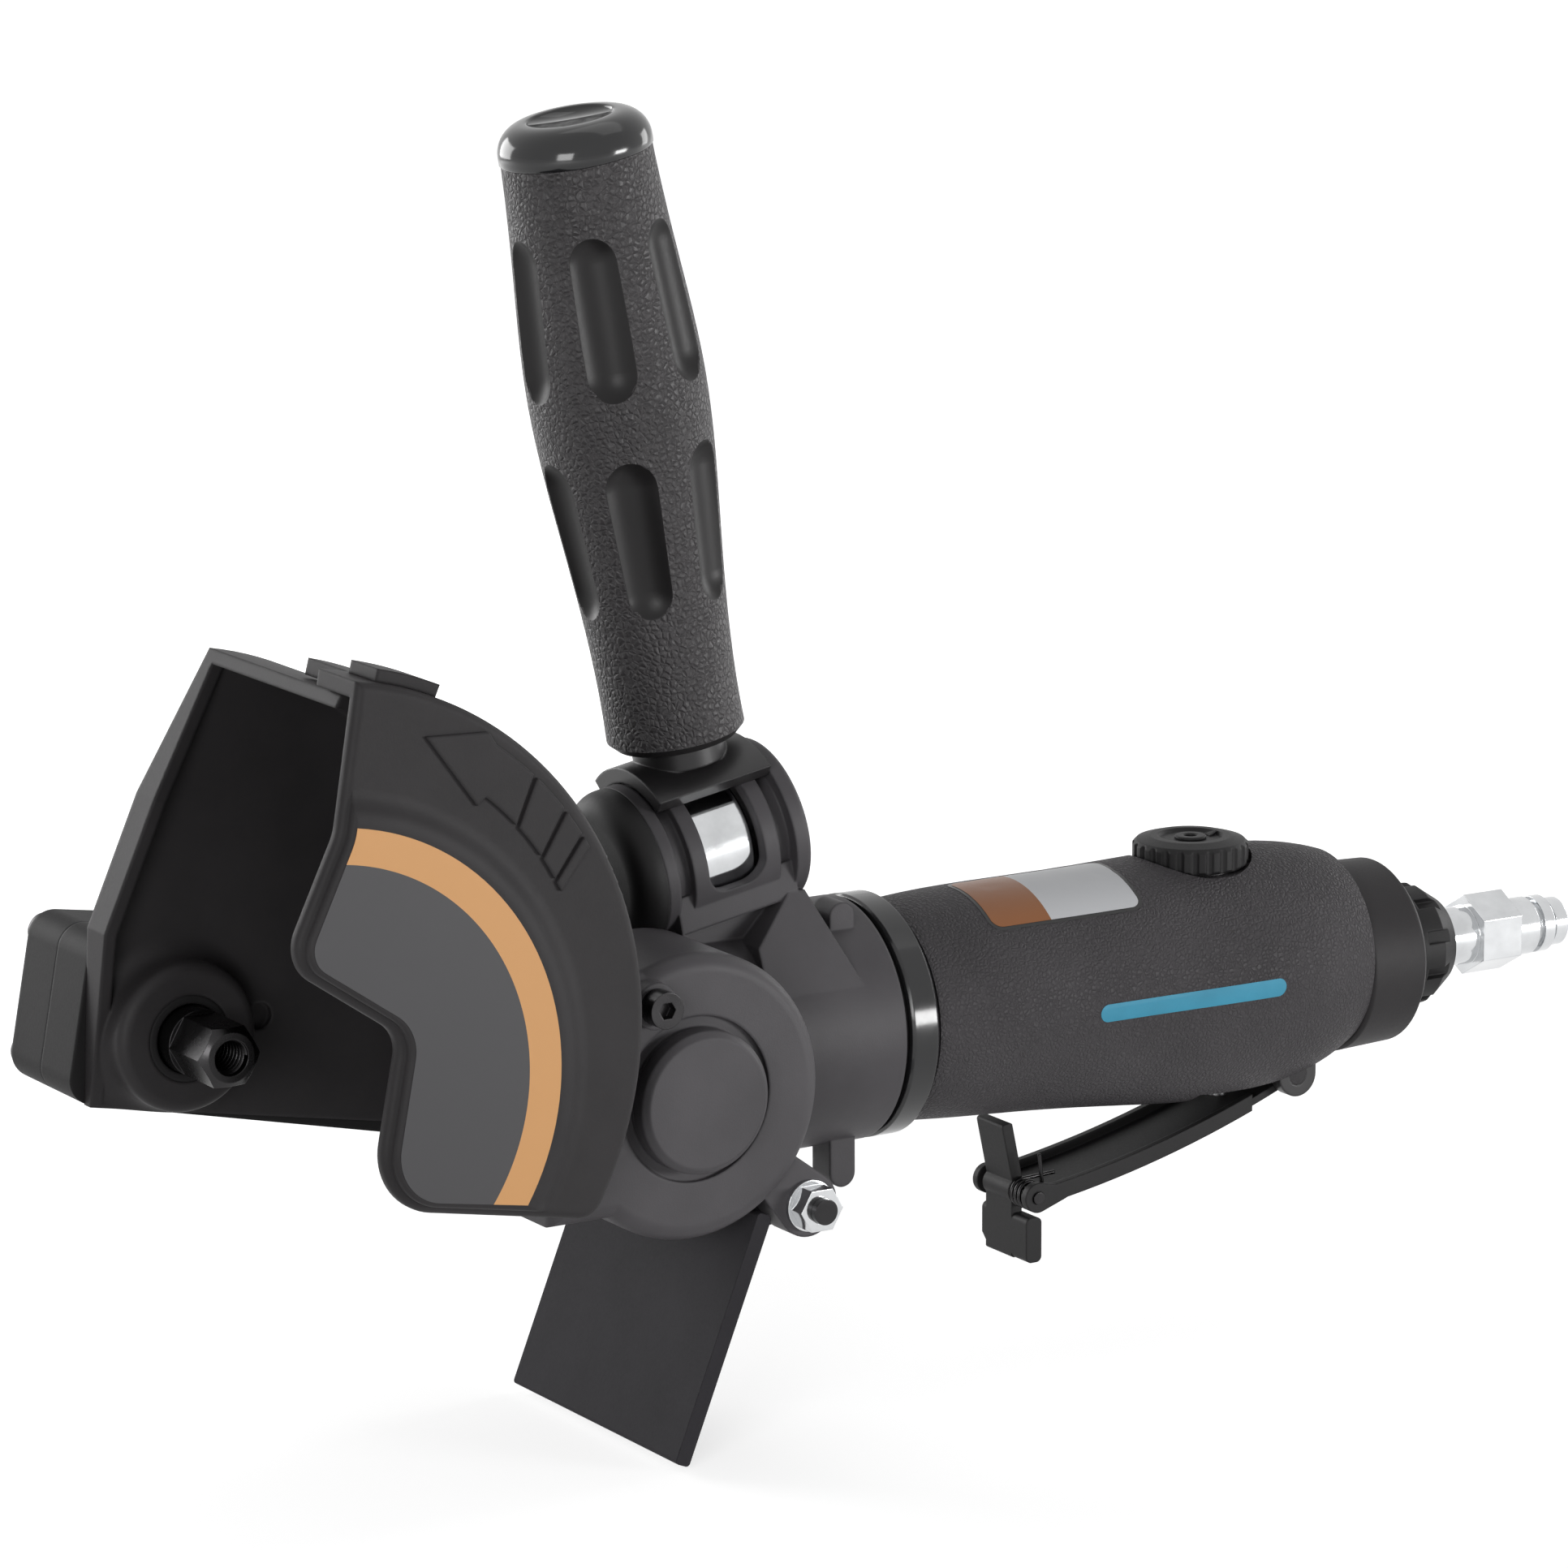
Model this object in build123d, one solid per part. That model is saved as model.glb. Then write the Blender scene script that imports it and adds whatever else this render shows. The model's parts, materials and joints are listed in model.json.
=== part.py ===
from build123d import *
import math
import os

# Air-driven multi sander: vane motor grip, right-angle gear case, belt arm, wheel guard and side handle.
# The origin is the mouth of the threaded hole in the hex adaptor. The spindle points along -Y, the motor
# axis runs along +X to the air inlet and +Z is up. Millimetres and degrees.

# Belt arm and spindle
ARM_LENGTH = 89.3
ARM_TILT = 10.5
ARM_FRONT = 27.2
ARM_SPLIT = 39.5
ARM_BACK = 53.5
ARM_WALL = 3.0
TOE_LENGTH = 30.0
TOE_HEIGHT = 32.0
TOE_OVERHANG = 17.7
TOE_LIFT = 0.7
TOE_CORNER = 5.0
HEEL_RADIUS = 19.5
ARM_SCREW_RADIUS = 1.9
ARM_SCREW_HEAD_RADIUS = 3.4
ARM_SCREW_PROUD = 1.2
ARM_POST_RADIUS = 4.0

# Spindle train
SPINDLE_RADIUS = 5.0
ADAPTOR_FLATS = 11.0
ADAPTOR_LENGTH = 17.5
ADAPTOR_NOSE_RADIUS = 4.7
ADAPTOR_COLLAR = 5.0
THREAD_BORE_RADIUS = 3.4
THREAD_DEPTH = 13.0
BEARING_WIDTH = 5.0
BEARING_RADIUS = 9.5
BEARING_SHOULDER = 1.4
SEAT_WALL = 1.5
PULLEY_RADIUS = 10.0
PULLEY_FLANGE_RADIUS = 11.6
PULLEY_FLANGE = 1.0
BELT_WIDTH = 8.0
BELT_THICKNESS = 2.2
BELT_CLEARANCE = 0.3
RUNNING_CLEARANCE = 0.05

# Wheel guard
GUARD_CENTRE_U = -2.5
GUARD_CENTRE_V = 5.5
GUARD_STANDOFF = 23.7
COVER_STEP = 3.6
COVER_DROP = 5.2
GUARD_WALL = 2.5
SHELL_LIP = -24.0
COVER_FRONT = -33.0
COVER_BACK = -18.0
COVER_CLEARANCE = 0.5
COVER_CORNER = 5.0
COVER_FILLET = 1.5
BOSS_FACE = 16.7
BOSS_RADIUS = 14.2
BOSS_FOOT = 0.5
BOSS_EDGE = 0.26
BOSS_RECESS_RADIUS = 8.2
EDGE_DEPTHS = (3.2, 7.2, 7.2, 2.5)
SPY_HOLE_RADIUS = 2.6
SPY_HOLE_UP = 3.5
PLATEAU_INSET = 15.9
PLATEAU_SHOULDER = 6.0
PLATEAU_MARGIN = 1.5
PLATEAU_EDGE = 1.0
PLATEAU_HEIGHT = 1.8
HOOK_BACK = -2.5
HOOK_START = 73.0
HOOK_SWEEP = 13.0
LATCH_HEIGHT = 2.4
LATCH_START = 76.5
LATCH_SWEEP = 10.5
COVER_TOP_EDGE = -5.2
COVER_LIP = (-3.4, 47.0)
COVER_LIP_ROUND = 10.0
COVER_NOSE = (-9.9, 23.0)
COVER_NOSE_ROUND = 7.5
COVER_NOTCH = (15.4, 11.8)
COVER_NOTCH_ROUND = 6.0
COVER_FOOT = 15.1
COVER_FOOT_ROUND = 12.0

# Gear case
MOTOR_Y = 21.5
CASE_RADIUS = 27.5
CASE_FRONT = -17.5
CASE_FILLET = 3.2
CASE_TOP = 25.5
CASE_BOTTOM = 20.8
CASE_LEFT = 31.0
CASE_CAVITY_GAP = 1.3
CASE_FACE_WALL = 6.0
NECK_RADIUS = 24.0
NECK_END = 56.2
NECK_BORE = 18.9
LUG_LENGTH = 5.6
LUG_FRONT = 12.0
LUG_BACK = 5.5
LUG_STATION = 49.0
LUG_TIPS = (26.1, -30.5)
GUSSET_START = 27.0
GUSSET_FOOT_STATION = 48.5
GUSSET_TOP = 30.1
GUSSET_LOW = 11.5
CAP_RADIUS = 13.7
CAP_HEIGHT = 4.3
CAP_GROOVE = 2.2
POST_ACROSS = -10.2
POST_UP = 19.75
POST_RADIUS = 3.5
POST_HEIGHT = 7.0
CASE_SCREW_GAP = 3.4
CASE_SCREW_SPOTS = (4.5, -8.5)
PART_GAP = 0.3

# Bevel pair
GEAR_TEETH = 24
PINION_TEETH = 12
GEAR_MODULE = 1.25
GEAR_FACE = 4.2
ADDENDUM = 0.75
DEDENDUM = 1.1
TOOTH_SHARE = 0.44
PRESSURE_ANGLE = 20.0

# Motor, by station along the axis from the gear axis
RING_START = 57.7
RING_LENGTH = 6.4
RING_RADIUS = 24.0
SLEEVE_START = 65.5
SLEEVE_END = 170.4
SLEEVE_SWELL = ((0.0, 1.8, 1.9), (0.3, 2.9, 4.4), (0.6, 3.3, 7.5), (0.88, 2.6, 6.8), (1.0, -0.2, 1.7))
HOUSING_RADIUS = 19.8
HOUSING_END = 168.0
MOTOR_BORE = 17.0
MOTOR_START = 44.0
MOTOR_END = 112.0
END_PLATE = 7.0
LINER_BORE = 14.0
LINER_OFFSET = 1.5
ROTOR_RADIUS = 12.3
ROTOR_SHAFT = 4.0
ROTOR_BEARING_RADIUS = 8.0
PINION_BEARING_RADIUS = 11.0
PINION_BEARING_STATION = 28.0
VANE_COUNT = 5
VANE_THICKNESS = 1.6
VANE_DEPTH = 6.5

# Air inlet, on an axis just below the motor axis
INLET_DROP = 3.0
EXHAUST_RADIUS = 19.3
EXHAUST_END = 184.7
BUSHING_RADIUS = 10.0
BUSHING_COLLAR = 12.4
BUSHING_END = 198.5
BUSHING_NOTCHES = 10
NIPPLE_HEX = 14.5
NIPPLE_HEX_START = 207.0
NIPPLE_HEX_END = 216.7
NIPPLE_BARREL_RADIUS = 6.0
NIPPLE_RING_RADIUS = 5.9
NIPPLE_NECK_RADIUS = 4.6
NIPPLE_NOSE_RADIUS = 5.0
NIPPLE_END = 231.0
NIPPLE_BORE = 3.6

# Regulator on top of the grip
KNOB_STATION = 138.7
KNOB_RADIUS = 11.6
KNOB_LIFT = 0.6
KNOB_HEIGHT = 5.2
KNOB_FLUTES = 24
KNOB_MARGIN = 0.7
KNOB_SINK = 0.5
STEM_RADIUS = 4.5
STEM_BOTTOM = 6.0
COLLAR_RADIUS = 10.0
COLLAR_HEIGHT = 3.0

# Throttle lever and safety catch
LEVER_STATION = 157.7
LEVER_PIN_DROP = 3.7
CATCH_STATION = 96.2
LEVER_FALL = 16.9
LEVER_HALF_WIDTH = 9.6
LEVER_TONGUE = 7.8
LEVER_WALL = 1.6
LEVER_FLANGE = 3.4
LEVER_BELLY = 1.9
LEVER_HEEL = 2.6
LEVER_SHOULDER = 10.0
LEVER_EAR = 3.0
LEVER_PIN_RADIUS = 2.0
BRACKET_OUTER = 11.2
BRACKET_RADIUS = 4.4
LEVER_SLOT = 32.0
LEVER_SLOT_SHIFT = -8.0
LEVER_SLOT_TOP = 7.5
CATCH_PIN_RADIUS = 1.25
CATCH_ARM = 14.3
CATCH_LEAN = 12.0
CATCH_PLATE = 2.4
CATCH_HUB_RADIUS = 2.6
CATCH_PAD_LENGTH = 13.6
CATCH_PAD_HALF_WIDTH = 8.0
CATCH_PAD_CORNER = 3.0
CATCH_HALF_WIDTH = 6.6
SPRING_TURNS = 3
SPRING_RADIUS = 2.6
SPRING_WIRE = 0.8
SPRING_PITCH = 1.3
SPRING_LEG = 8.0
SPRING_LEG_ANGLE = 88.0
VALVE_STATION = 145.7
VALVE_PIN_RADIUS = 2.0
VALVE_HEAD_RADIUS = 3.6
VALVE_BUSH_RADIUS = 4.2
VALVE_BORE_TOP = 2.0
VALVE_HEAD_UP = 9.0
VALVE_TIP_GAP = 0.75

# Side handle on its drum
DRUM_STATION = 23.3
DRUM_HEIGHT = 38.8
DRUM_LEAN = 10.4
DRUM_RADIUS = 15.5
DRUM_BORE = 12.9
DRUM_LEFT = 15.4
DRUM_RIGHT = 16.4
FLANGE_RADIUS = 16.4
FLANGE_THICKNESS = 3.6
FLANGE_EDGE = 1.2
FOOT_SHORTER = 2.0
FOOT_INSET = 3.0
DRUM_GROOVE = 1.8
DRUM_GROOVE_WIDTH = 3.2
DRUM_DOME = 6.0
BASE_HALF_LENGTH = 13.2
BASE_HALF_WIDTH = 13.4
BASE_DROP = 12.2
SADDLE_WALL = 3.0
SADDLE_WRAP = 41.0
WINDOW_WIDTH = 12.8
WINDOW_ANGLE = 113.0
WINDOW_ROUND = 4.5
NUT_GAP = 0.4
NUT_HALF_LENGTH = 6.2
NUT_EDGE = 1.0
STUD_RADIUS = 4.0
STUD_REACH = 30.0
STUD_FLOOR = 2.0
HANDLE_COLLAR_RADIUS = 9.0
GRIP_START = 21.4
GRIP_END = 136.3
GRIP_FOOT_RADIUS = 13.3
GRIP_BELLY = 97.0
GRIP_BELLY_RADIUS = 17.0
GRIP_TOP_RADIUS = 14.3
END_CAP_HEIGHT = 7.5
DIMPLE_COLUMNS = 6
DIMPLE_RADIUS = 7.0
DIMPLE_LENGTH = 21.0
DIMPLE_DEPTH = 2.5
UPPER_DIMPLE = 108.0
LOWER_DIMPLE = 64.0

# Debris flap under the gear case
FLAP_BOLT_ACROSS = 26.3
FLAP_BOLT_DOWN = 25.0
FLAP_EAR_RADIUS = 6.3
FLAP_BOLT_RADIUS = 2.5
FLAP_FRONT = -14.5
FLAP_BACK = 47.5
FLAP_THICKNESS = 3.2
FLAP_LENGTH = 50.0
FLAP_LEAN = 22.0
FLAP_STANDOFF = 7.0
FLAP_TOP = 4.0
EAR_THICKNESS = 7.0
EAR_SPREAD = 27.4
KNUCKLE_RADIUS = 4.7
NUT_FLATS = 8.0
NUT_HEIGHT = 4.0
WASHER_THICKNESS = 1.0
WASHER_RADIUS = 5.0

# Frames worked out from the driving dimensions
SHELL_RADIUS = ARM_LENGTH - GUARD_STANDOFF
COVER_RADIUS = SHELL_RADIUS + COVER_STEP
PLATEAU_RADIUS = SHELL_RADIUS - PLATEAU_INSET
KNOB_BOTTOM = HOUSING_RADIUS + KNOB_LIFT
LEVER_DROP = HOUSING_RADIUS + LEVER_PIN_DROP
CATCH_DROP = LEVER_DROP + LEVER_FALL
NUT_RADIUS = DRUM_BORE - NUT_GAP
SADDLE_HALF_WIDTH = DRUM_RIGHT - FLANGE_THICKNESS - PART_GAP
GUSSET_TOP_STATION = DRUM_STATION + DRUM_RIGHT
TILT = math.radians(ARM_TILT)
GEAR_X = ARM_LENGTH * math.cos(TILT)
GEAR_Z = -ARM_LENGTH * math.sin(TILT)
ARM = Plane(origin=(0, 0, 0), x_dir=(math.cos(TILT), 0, -math.sin(TILT)), z_dir=(0, -1, 0))
SPINDLE = Plane(origin=(0, 0, 0), x_dir=(1, 0, 0), z_dir=(0, -1, 0))
GEAR = Plane(origin=(GEAR_X, 0, GEAR_Z), x_dir=(1, 0, 0), z_dir=(0, -1, 0))
MOTOR = Plane(origin=(GEAR_X, MOTOR_Y, GEAR_Z), x_dir=(0, 0, 1), z_dir=(1, 0, 0))
INLET = Plane(origin=(GEAR_X, MOTOR_Y, GEAR_Z - INLET_DROP), x_dir=(0, 0, 1), z_dir=(1, 0, 0))
LEAN = math.radians(DRUM_LEAN)
DRUM_CENTRE = (GEAR_X + DRUM_STATION, MOTOR_Y, GEAR_Z + DRUM_HEIGHT)
HANDLE = Plane(origin=DRUM_CENTRE, x_dir=(math.cos(LEAN), 0, math.sin(LEAN)),
               z_dir=(-math.sin(LEAN), 0, math.cos(LEAN)))
DRUM = Plane(origin=DRUM_CENTRE, x_dir=(-math.sin(LEAN), 0, math.cos(LEAN)),
             z_dir=(math.cos(LEAN), 0, math.sin(LEAN)))
DRUM_AXIS = Axis(DRUM_CENTRE, DRUM.z_dir)
KNOB = Plane(origin=(GEAR_X + KNOB_STATION, MOTOR_Y, GEAR_Z), x_dir=(1, 0, 0), z_dir=(0, 0, 1))
VALVE = Plane(origin=(GEAR_X + VALVE_STATION, MOTOR_Y, GEAR_Z), x_dir=(1, 0, 0), z_dir=(0, 0, 1))
LEVER = Plane(origin=(GEAR_X + LEVER_STATION, MOTOR_Y, GEAR_Z - LEVER_DROP), x_dir=(1, 0, 0),
              z_dir=(0, -1, 0))
CATCH = Plane(origin=(GEAR_X + CATCH_STATION, MOTOR_Y, GEAR_Z - CATCH_DROP), x_dir=(1, 0, 0),
              z_dir=(0, -1, 0))
FLAP = Plane(origin=(GEAR_X + FLAP_BOLT_ACROSS, 0, GEAR_Z - FLAP_BOLT_DOWN), x_dir=(1, 0, 0),
             z_dir=(0, -1, 0))
FAR = 200.0


def turned(frame, *profile):
    """Solid of revolution about a frame's z axis, from (radius, station) corners."""
    face = Plane.XZ * make_face(Polyline(*profile, close=True))
    return frame.location * revolve(face, Axis.Z)


def rod(frame, radius, start, end):
    """Cylinder along a frame's z axis between two stations."""
    return frame.location * Pos(0, 0, (start + end) / 2) * Cylinder(radius, end - start)


def tube(frame, outer, inner, start, end):
    """Ring along a frame's z axis between two stations."""
    return rod(frame, outer, start, end) - rod(frame, inner, start, end)


def slab(frame, outline, front, back):
    """Plate that fills an outline in a frame facing -Y, from y = front to y = back."""
    return frame.location * Pos(0, 0, -back) * extrude(outline, back - front)


def rod_y(frame, radius, front, back):
    """Cylinder along Y through a front-facing frame's origin."""
    return rod(frame, radius, -back, -front)


def tube_y(frame, outer, inner, front, back):
    """Ring along Y about a front-facing frame's origin."""
    return rod_y(frame, outer, front, back) - rod_y(frame, inner, front, back)


def shifted(frame, across, up):
    """Front-facing frame moved sideways in its own plane."""
    return Plane(origin=frame.from_local_coords((across, up, 0)), x_dir=frame.x_dir, z_dir=frame.z_dir)


def polygon(*corners):
    """Face from straight runs between corners."""
    return make_face(Polyline(*corners, close=True))


def sector(radius_in, radius_out, start, end):
    """Flat piece of a ring between two angles, in degrees from local x."""
    reach = radius_out * 2
    middle = (start + end) / 2
    angles = [math.radians(a) for a in (start, middle, end)]
    wedge = [(reach * math.cos(a), reach * math.sin(a)) for a in angles]
    return (Circle(radius_out) - Circle(radius_in)) & polygon((0, 0), *wedge)


def quarter(centre, radius, start):
    """Quarter circle about a point, turning left from an angle in degrees."""
    turns = [math.radians(start + part) for part in (0, 45, 90)]
    spots = [(centre[0] + radius * math.cos(a), centre[1] + radius * math.sin(a)) for a in turns]
    return ThreePointArc(*spots)


def revolved(frame, *runs):
    """Solid of revolution about a frame's z axis, from lines and arcs in (radius, station)."""
    edges = [edge for run in runs for edge in run.edges()]
    return frame.location * revolve(Plane.XZ * make_face(edges), Axis.Z)


def guard_plane():
    """Arm frame moved to the centre of the guard's arc."""
    return shifted(ARM, GUARD_CENTRE_U, GUARD_CENTRE_V)


def guard_edge(up):
    """Place along the arm of the guard's outer wall, at a height above the arm's centre line."""
    return GUARD_CENTRE_U + math.sqrt(SHELL_RADIUS ** 2 - (up - GUARD_CENTRE_V) ** 2)


def gear_at(frame, teeth, mate_teeth, half_step):
    """Straight bevel teeth and root cone with the apex at the frame's origin, opening along its z axis."""
    pitch_radius = GEAR_MODULE * teeth / 2
    pitch_height = GEAR_MODULE * mate_teeth / 2
    cone = math.atan2(pitch_radius, pitch_height)
    shrink = 1 - GEAR_FACE / math.hypot(pitch_radius, pitch_height)
    half = TOOTH_SHARE * math.pi * GEAR_MODULE / 2
    flank = math.tan(math.radians(PRESSURE_ANGLE))
    sunk = DEDENDUM + 0.15

    def corner(offset, side, scale):
        radius = (pitch_radius + offset * GEAR_MODULE * math.cos(cone)) * scale
        height = (pitch_height - offset * GEAR_MODULE * math.sin(cone)) * scale
        return (radius, side * (half - offset * GEAR_MODULE * flank) * scale, height)

    def end_face(scale):
        corners = [corner(-sunk, -1, scale), corner(ADDENDUM, -1, scale)]
        corners += [corner(ADDENDUM, 1, scale), corner(-sunk, 1, scale)]
        return make_face(Polyline(*corners, close=True))

    tooth = loft([end_face(1.0), end_face(shrink)], ruled=True)
    big = corner(-DEDENDUM, 0, 1.0)
    small = corner(-DEDENDUM, 0, shrink)
    blank = turned(Plane.XY, (0, small[2]), (small[0], small[2]), (big[0], big[2]), (0, big[2]))
    step = 360 / teeth
    solid = blank
    for index in range(teeth):
        solid += Rot(0, 0, (index + half_step) * step) * tooth
    return frame.location * solid


def gear_back():
    """Distance from the apex to the back of the bevel gear's blank."""
    cone = math.atan2(GEAR_TEETH, PINION_TEETH)
    return GEAR_MODULE * PINION_TEETH / 2 + DEDENDUM * GEAR_MODULE * math.sin(cone)


def pinion_back():
    """Distance from the apex to the back of the pinion's blank."""
    cone = math.atan2(PINION_TEETH, GEAR_TEETH)
    return GEAR_MODULE * GEAR_TEETH / 2 + DEDENDUM * GEAR_MODULE * math.sin(cone)


def pinion_tip():
    """Outside radius of the pinion."""
    cone = math.atan2(PINION_TEETH, GEAR_TEETH)
    return GEAR_MODULE * (PINION_TEETH / 2 + ADDENDUM * math.cos(cone))


def pinion_front():
    """Distance from the apex to the front ends of the pinion's teeth."""
    cone = math.atan2(PINION_TEETH, GEAR_TEETH)
    share = 1 - GEAR_FACE / (GEAR_MODULE * math.hypot(PINION_TEETH, GEAR_TEETH) / 2)
    return GEAR_MODULE * (GEAR_TEETH / 2 - ADDENDUM * math.sin(cone)) * share


# Stations along Y that several pieces share
FRONT_BEARING = ARM_FRONT + BEARING_SHOULDER
REAR_BEARING = ARM_BACK - ARM_WALL - BEARING_WIDTH
PULLEY_FRONT = FRONT_BEARING + BEARING_WIDTH + 0.6
PULLEY_BACK = REAR_BEARING - 0.6
PULLEY_MIDDLE = (PULLEY_FRONT + PULLEY_BACK) / 2
ADAPTOR_BACK = ADAPTOR_LENGTH
CAP_SEAT = CASE_FRONT + CASE_FACE_WALL
GEAR_BEARING = CAP_SEAT - BEARING_WIDTH
SCREW_INSET = 4.6
SCREW_SPOTS = [(-TOE_OVERHANG + SCREW_INSET, TOE_LIFT + TOE_HEIGHT / 2 - SCREW_INSET),
               (-TOE_OVERHANG + SCREW_INSET, TOE_LIFT - TOE_HEIGHT / 2 + SCREW_INSET),
               (ARM_LENGTH + HEEL_RADIUS * 0.62, HEEL_RADIUS * 0.62),
               (ARM_LENGTH + HEEL_RADIUS * 0.62, -HEEL_RADIUS * 0.62)]


def arm_outline(inset):
    """Belt arm from the front: square toe round the spindle, round heel about the gear axis."""
    toe = RectangleRounded(TOE_LENGTH - 2 * inset, TOE_HEIGHT - 2 * inset, TOE_CORNER - inset)
    toe = Pos(TOE_LENGTH / 2 - TOE_OVERHANG, TOE_LIFT) * toe
    heel = Pos(ARM_LENGTH, 0) * Circle(HEEL_RADIUS - inset)
    return make_hull(toe.edges() + heel.edges())


def arm_posts(front, back):
    """Screw posts in the corners of the arm."""
    posts = [rod_y(shifted(ARM, u, v), ARM_POST_RADIUS, front, back) for u, v in SCREW_SPOTS]
    return Part() + posts & slab(ARM, arm_outline(0), front, back)


def arm_housing():
    """Front half of the belt arm, with the seats of the two front bearings."""
    body = slab(ARM, arm_outline(0), ARM_FRONT, ARM_SPLIT)
    body -= slab(ARM, arm_outline(ARM_WALL), ARM_FRONT + ARM_WALL, ARM_SPLIT)
    body += arm_posts(ARM_FRONT, ARM_SPLIT)
    seat_back = FRONT_BEARING + BEARING_WIDTH
    for frame in (SPINDLE, GEAR):
        body += rod_y(frame, BEARING_RADIUS + SEAT_WALL, ARM_FRONT, seat_back)
        body -= rod_y(frame, BEARING_RADIUS, FRONT_BEARING, ARM_BACK)
        body -= rod_y(frame, SPINDLE_RADIUS + 1, 0, FRONT_BEARING)
    for u, v in SCREW_SPOTS:
        body -= rod_y(shifted(ARM, u, v), ARM_SCREW_RADIUS, ARM_FRONT + 2, ARM_SPLIT)
    for frame in case_screw_frames():
        body -= rod_y(frame, ARM_SCREW_RADIUS, ARM_FRONT, ARM_FRONT + ARM_WALL)
    body -= rod(MOTOR, PINION_BEARING_RADIUS, BEARING_RADIUS + SEAT_WALL, FAR)
    return body - rod(MOTOR, pinion_tip() + PART_GAP, pinion_front() - PART_GAP, FAR)


def arm_cover():
    """Rear half of the belt arm, with the rear bearing seats and the screw holes."""
    body = slab(ARM, arm_outline(0), ARM_SPLIT, ARM_BACK)
    back_edge = body.faces().sort_by(Axis.Y)[-1].edges()
    body = fillet(back_edge, 2.0)
    body -= slab(ARM, arm_outline(ARM_WALL), ARM_SPLIT, ARM_BACK - ARM_WALL)
    body += arm_posts(ARM_SPLIT, ARM_BACK - ARM_WALL)
    for frame in (SPINDLE, GEAR):
        body += tube_y(frame, BEARING_RADIUS + SEAT_WALL, BEARING_RADIUS, REAR_BEARING, ARM_BACK - ARM_WALL)
    for u, v in SCREW_SPOTS:
        spot = shifted(ARM, u, v)
        body -= rod_y(spot, ARM_SCREW_RADIUS, ARM_SPLIT, ARM_BACK)
        body -= rod_y(spot, ARM_SCREW_HEAD_RADIUS, ARM_BACK - ARM_WALL, ARM_BACK)
    return body


def arm_screws():
    """Socket-head screws that hold the two halves of the arm together."""
    screws = []
    for u, v in SCREW_SPOTS:
        spot = shifted(ARM, u, v)
        screw = rod_y(spot, ARM_SCREW_RADIUS, ARM_FRONT + 2.5, ARM_BACK - ARM_WALL)
        head_back = ARM_BACK + ARM_SCREW_PROUD
        head = rod_y(spot, ARM_SCREW_HEAD_RADIUS, ARM_BACK - ARM_WALL, head_back)
        socket = slab(spot, RegularPolygon(ARM_SCREW_HEAD_RADIUS / 2, 6), head_back - ARM_WALL / 2, head_back)
        screws.append(screw + head - socket)
    return screws


def case_screw_frames():
    """Frames of the screws that hold the gear case to the arm."""
    return [shifted(ARM, guard_edge(v) + CASE_SCREW_GAP, v) for v in CASE_SCREW_SPOTS]


def case_screws():
    """Screws from inside the arm into the gear case's rear face."""
    screws = []
    for frame in case_screw_frames():
        head = rod_y(frame, ARM_SCREW_HEAD_RADIUS - 0.4, ARM_FRONT + ARM_WALL, ARM_FRONT + ARM_WALL + 3)
        screws.append(head + rod_y(frame, ARM_SCREW_RADIUS, ARM_FRONT - 6, ARM_FRONT + ARM_WALL))
    return screws


def bearings(frame, stations, radius, bore):
    """Ball bearings drawn as plain rings along Y, one at each front station."""
    return [tube_y(frame, radius, bore + RUNNING_CLEARANCE, y, y + BEARING_WIDTH) for y in stations]


def spindle():
    """Driven shaft: journal through both bearings, with a threaded stub for the adaptor."""
    stub = rod_y(SPINDLE, SPINDLE_RADIUS - 1, THREAD_DEPTH + 1, ADAPTOR_BACK)
    return stub + rod_y(SPINDLE, SPINDLE_RADIUS, ADAPTOR_BACK, REAR_BEARING + BEARING_WIDTH)


def hex_adaptor():
    """Hex nose with an internal thread, screwed on the spindle."""
    corner_radius = ADAPTOR_FLATS / math.sqrt(3)
    body = slab(SPINDLE, RegularPolygon(corner_radius, 6), 0, ADAPTOR_BACK)
    slope = corner_radius - ADAPTOR_NOSE_RADIUS
    nose = turned(SPINDLE, (0, 0), (ADAPTOR_NOSE_RADIUS, 0), (corner_radius, -slope * 0.7),
                  (corner_radius, -ADAPTOR_BACK), (0, -ADAPTOR_BACK))
    body = body & nose
    body += rod_y(SPINDLE, corner_radius, ADAPTOR_BACK - ADAPTOR_COLLAR, ADAPTOR_BACK)
    body -= rod_y(SPINDLE, THREAD_BORE_RADIUS, 0, THREAD_DEPTH)
    return body - rod_y(SPINDLE, SPINDLE_RADIUS - 1, THREAD_DEPTH + 1, ADAPTOR_BACK)


def pulley(frame):
    """Flanged pulley on its shaft."""
    half = BELT_WIDTH / 2 + 0.4
    body = tube_y(frame, PULLEY_RADIUS, SPINDLE_RADIUS, PULLEY_FRONT, PULLEY_BACK)
    for front in (PULLEY_MIDDLE - half - PULLEY_FLANGE, PULLEY_MIDDLE + half):
        body += tube_y(frame, PULLEY_FLANGE_RADIUS, SPINDLE_RADIUS, front, front + PULLEY_FLANGE)
    return body


def drive_belt():
    """Flat belt round both pulleys."""
    def loop(radius):
        ends = [Pos(u, 0) * Circle(radius) for u in (0, ARM_LENGTH)]
        return make_hull(ends[0].edges() + ends[1].edges())

    inner = PULLEY_RADIUS + BELT_CLEARANCE
    band = loop(inner + BELT_THICKNESS) - loop(inner)
    return slab(ARM, band, PULLEY_MIDDLE - BELT_WIDTH / 2, PULLEY_MIDDLE + BELT_WIDTH / 2)


def gear_shaft():
    """Shaft on the gear axis from the cap bearing to the rear bearing, with a seat for the gear."""
    return rod_y(GEAR, SPINDLE_RADIUS, GEAR_BEARING, REAR_BEARING + BEARING_WIDTH)


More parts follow.
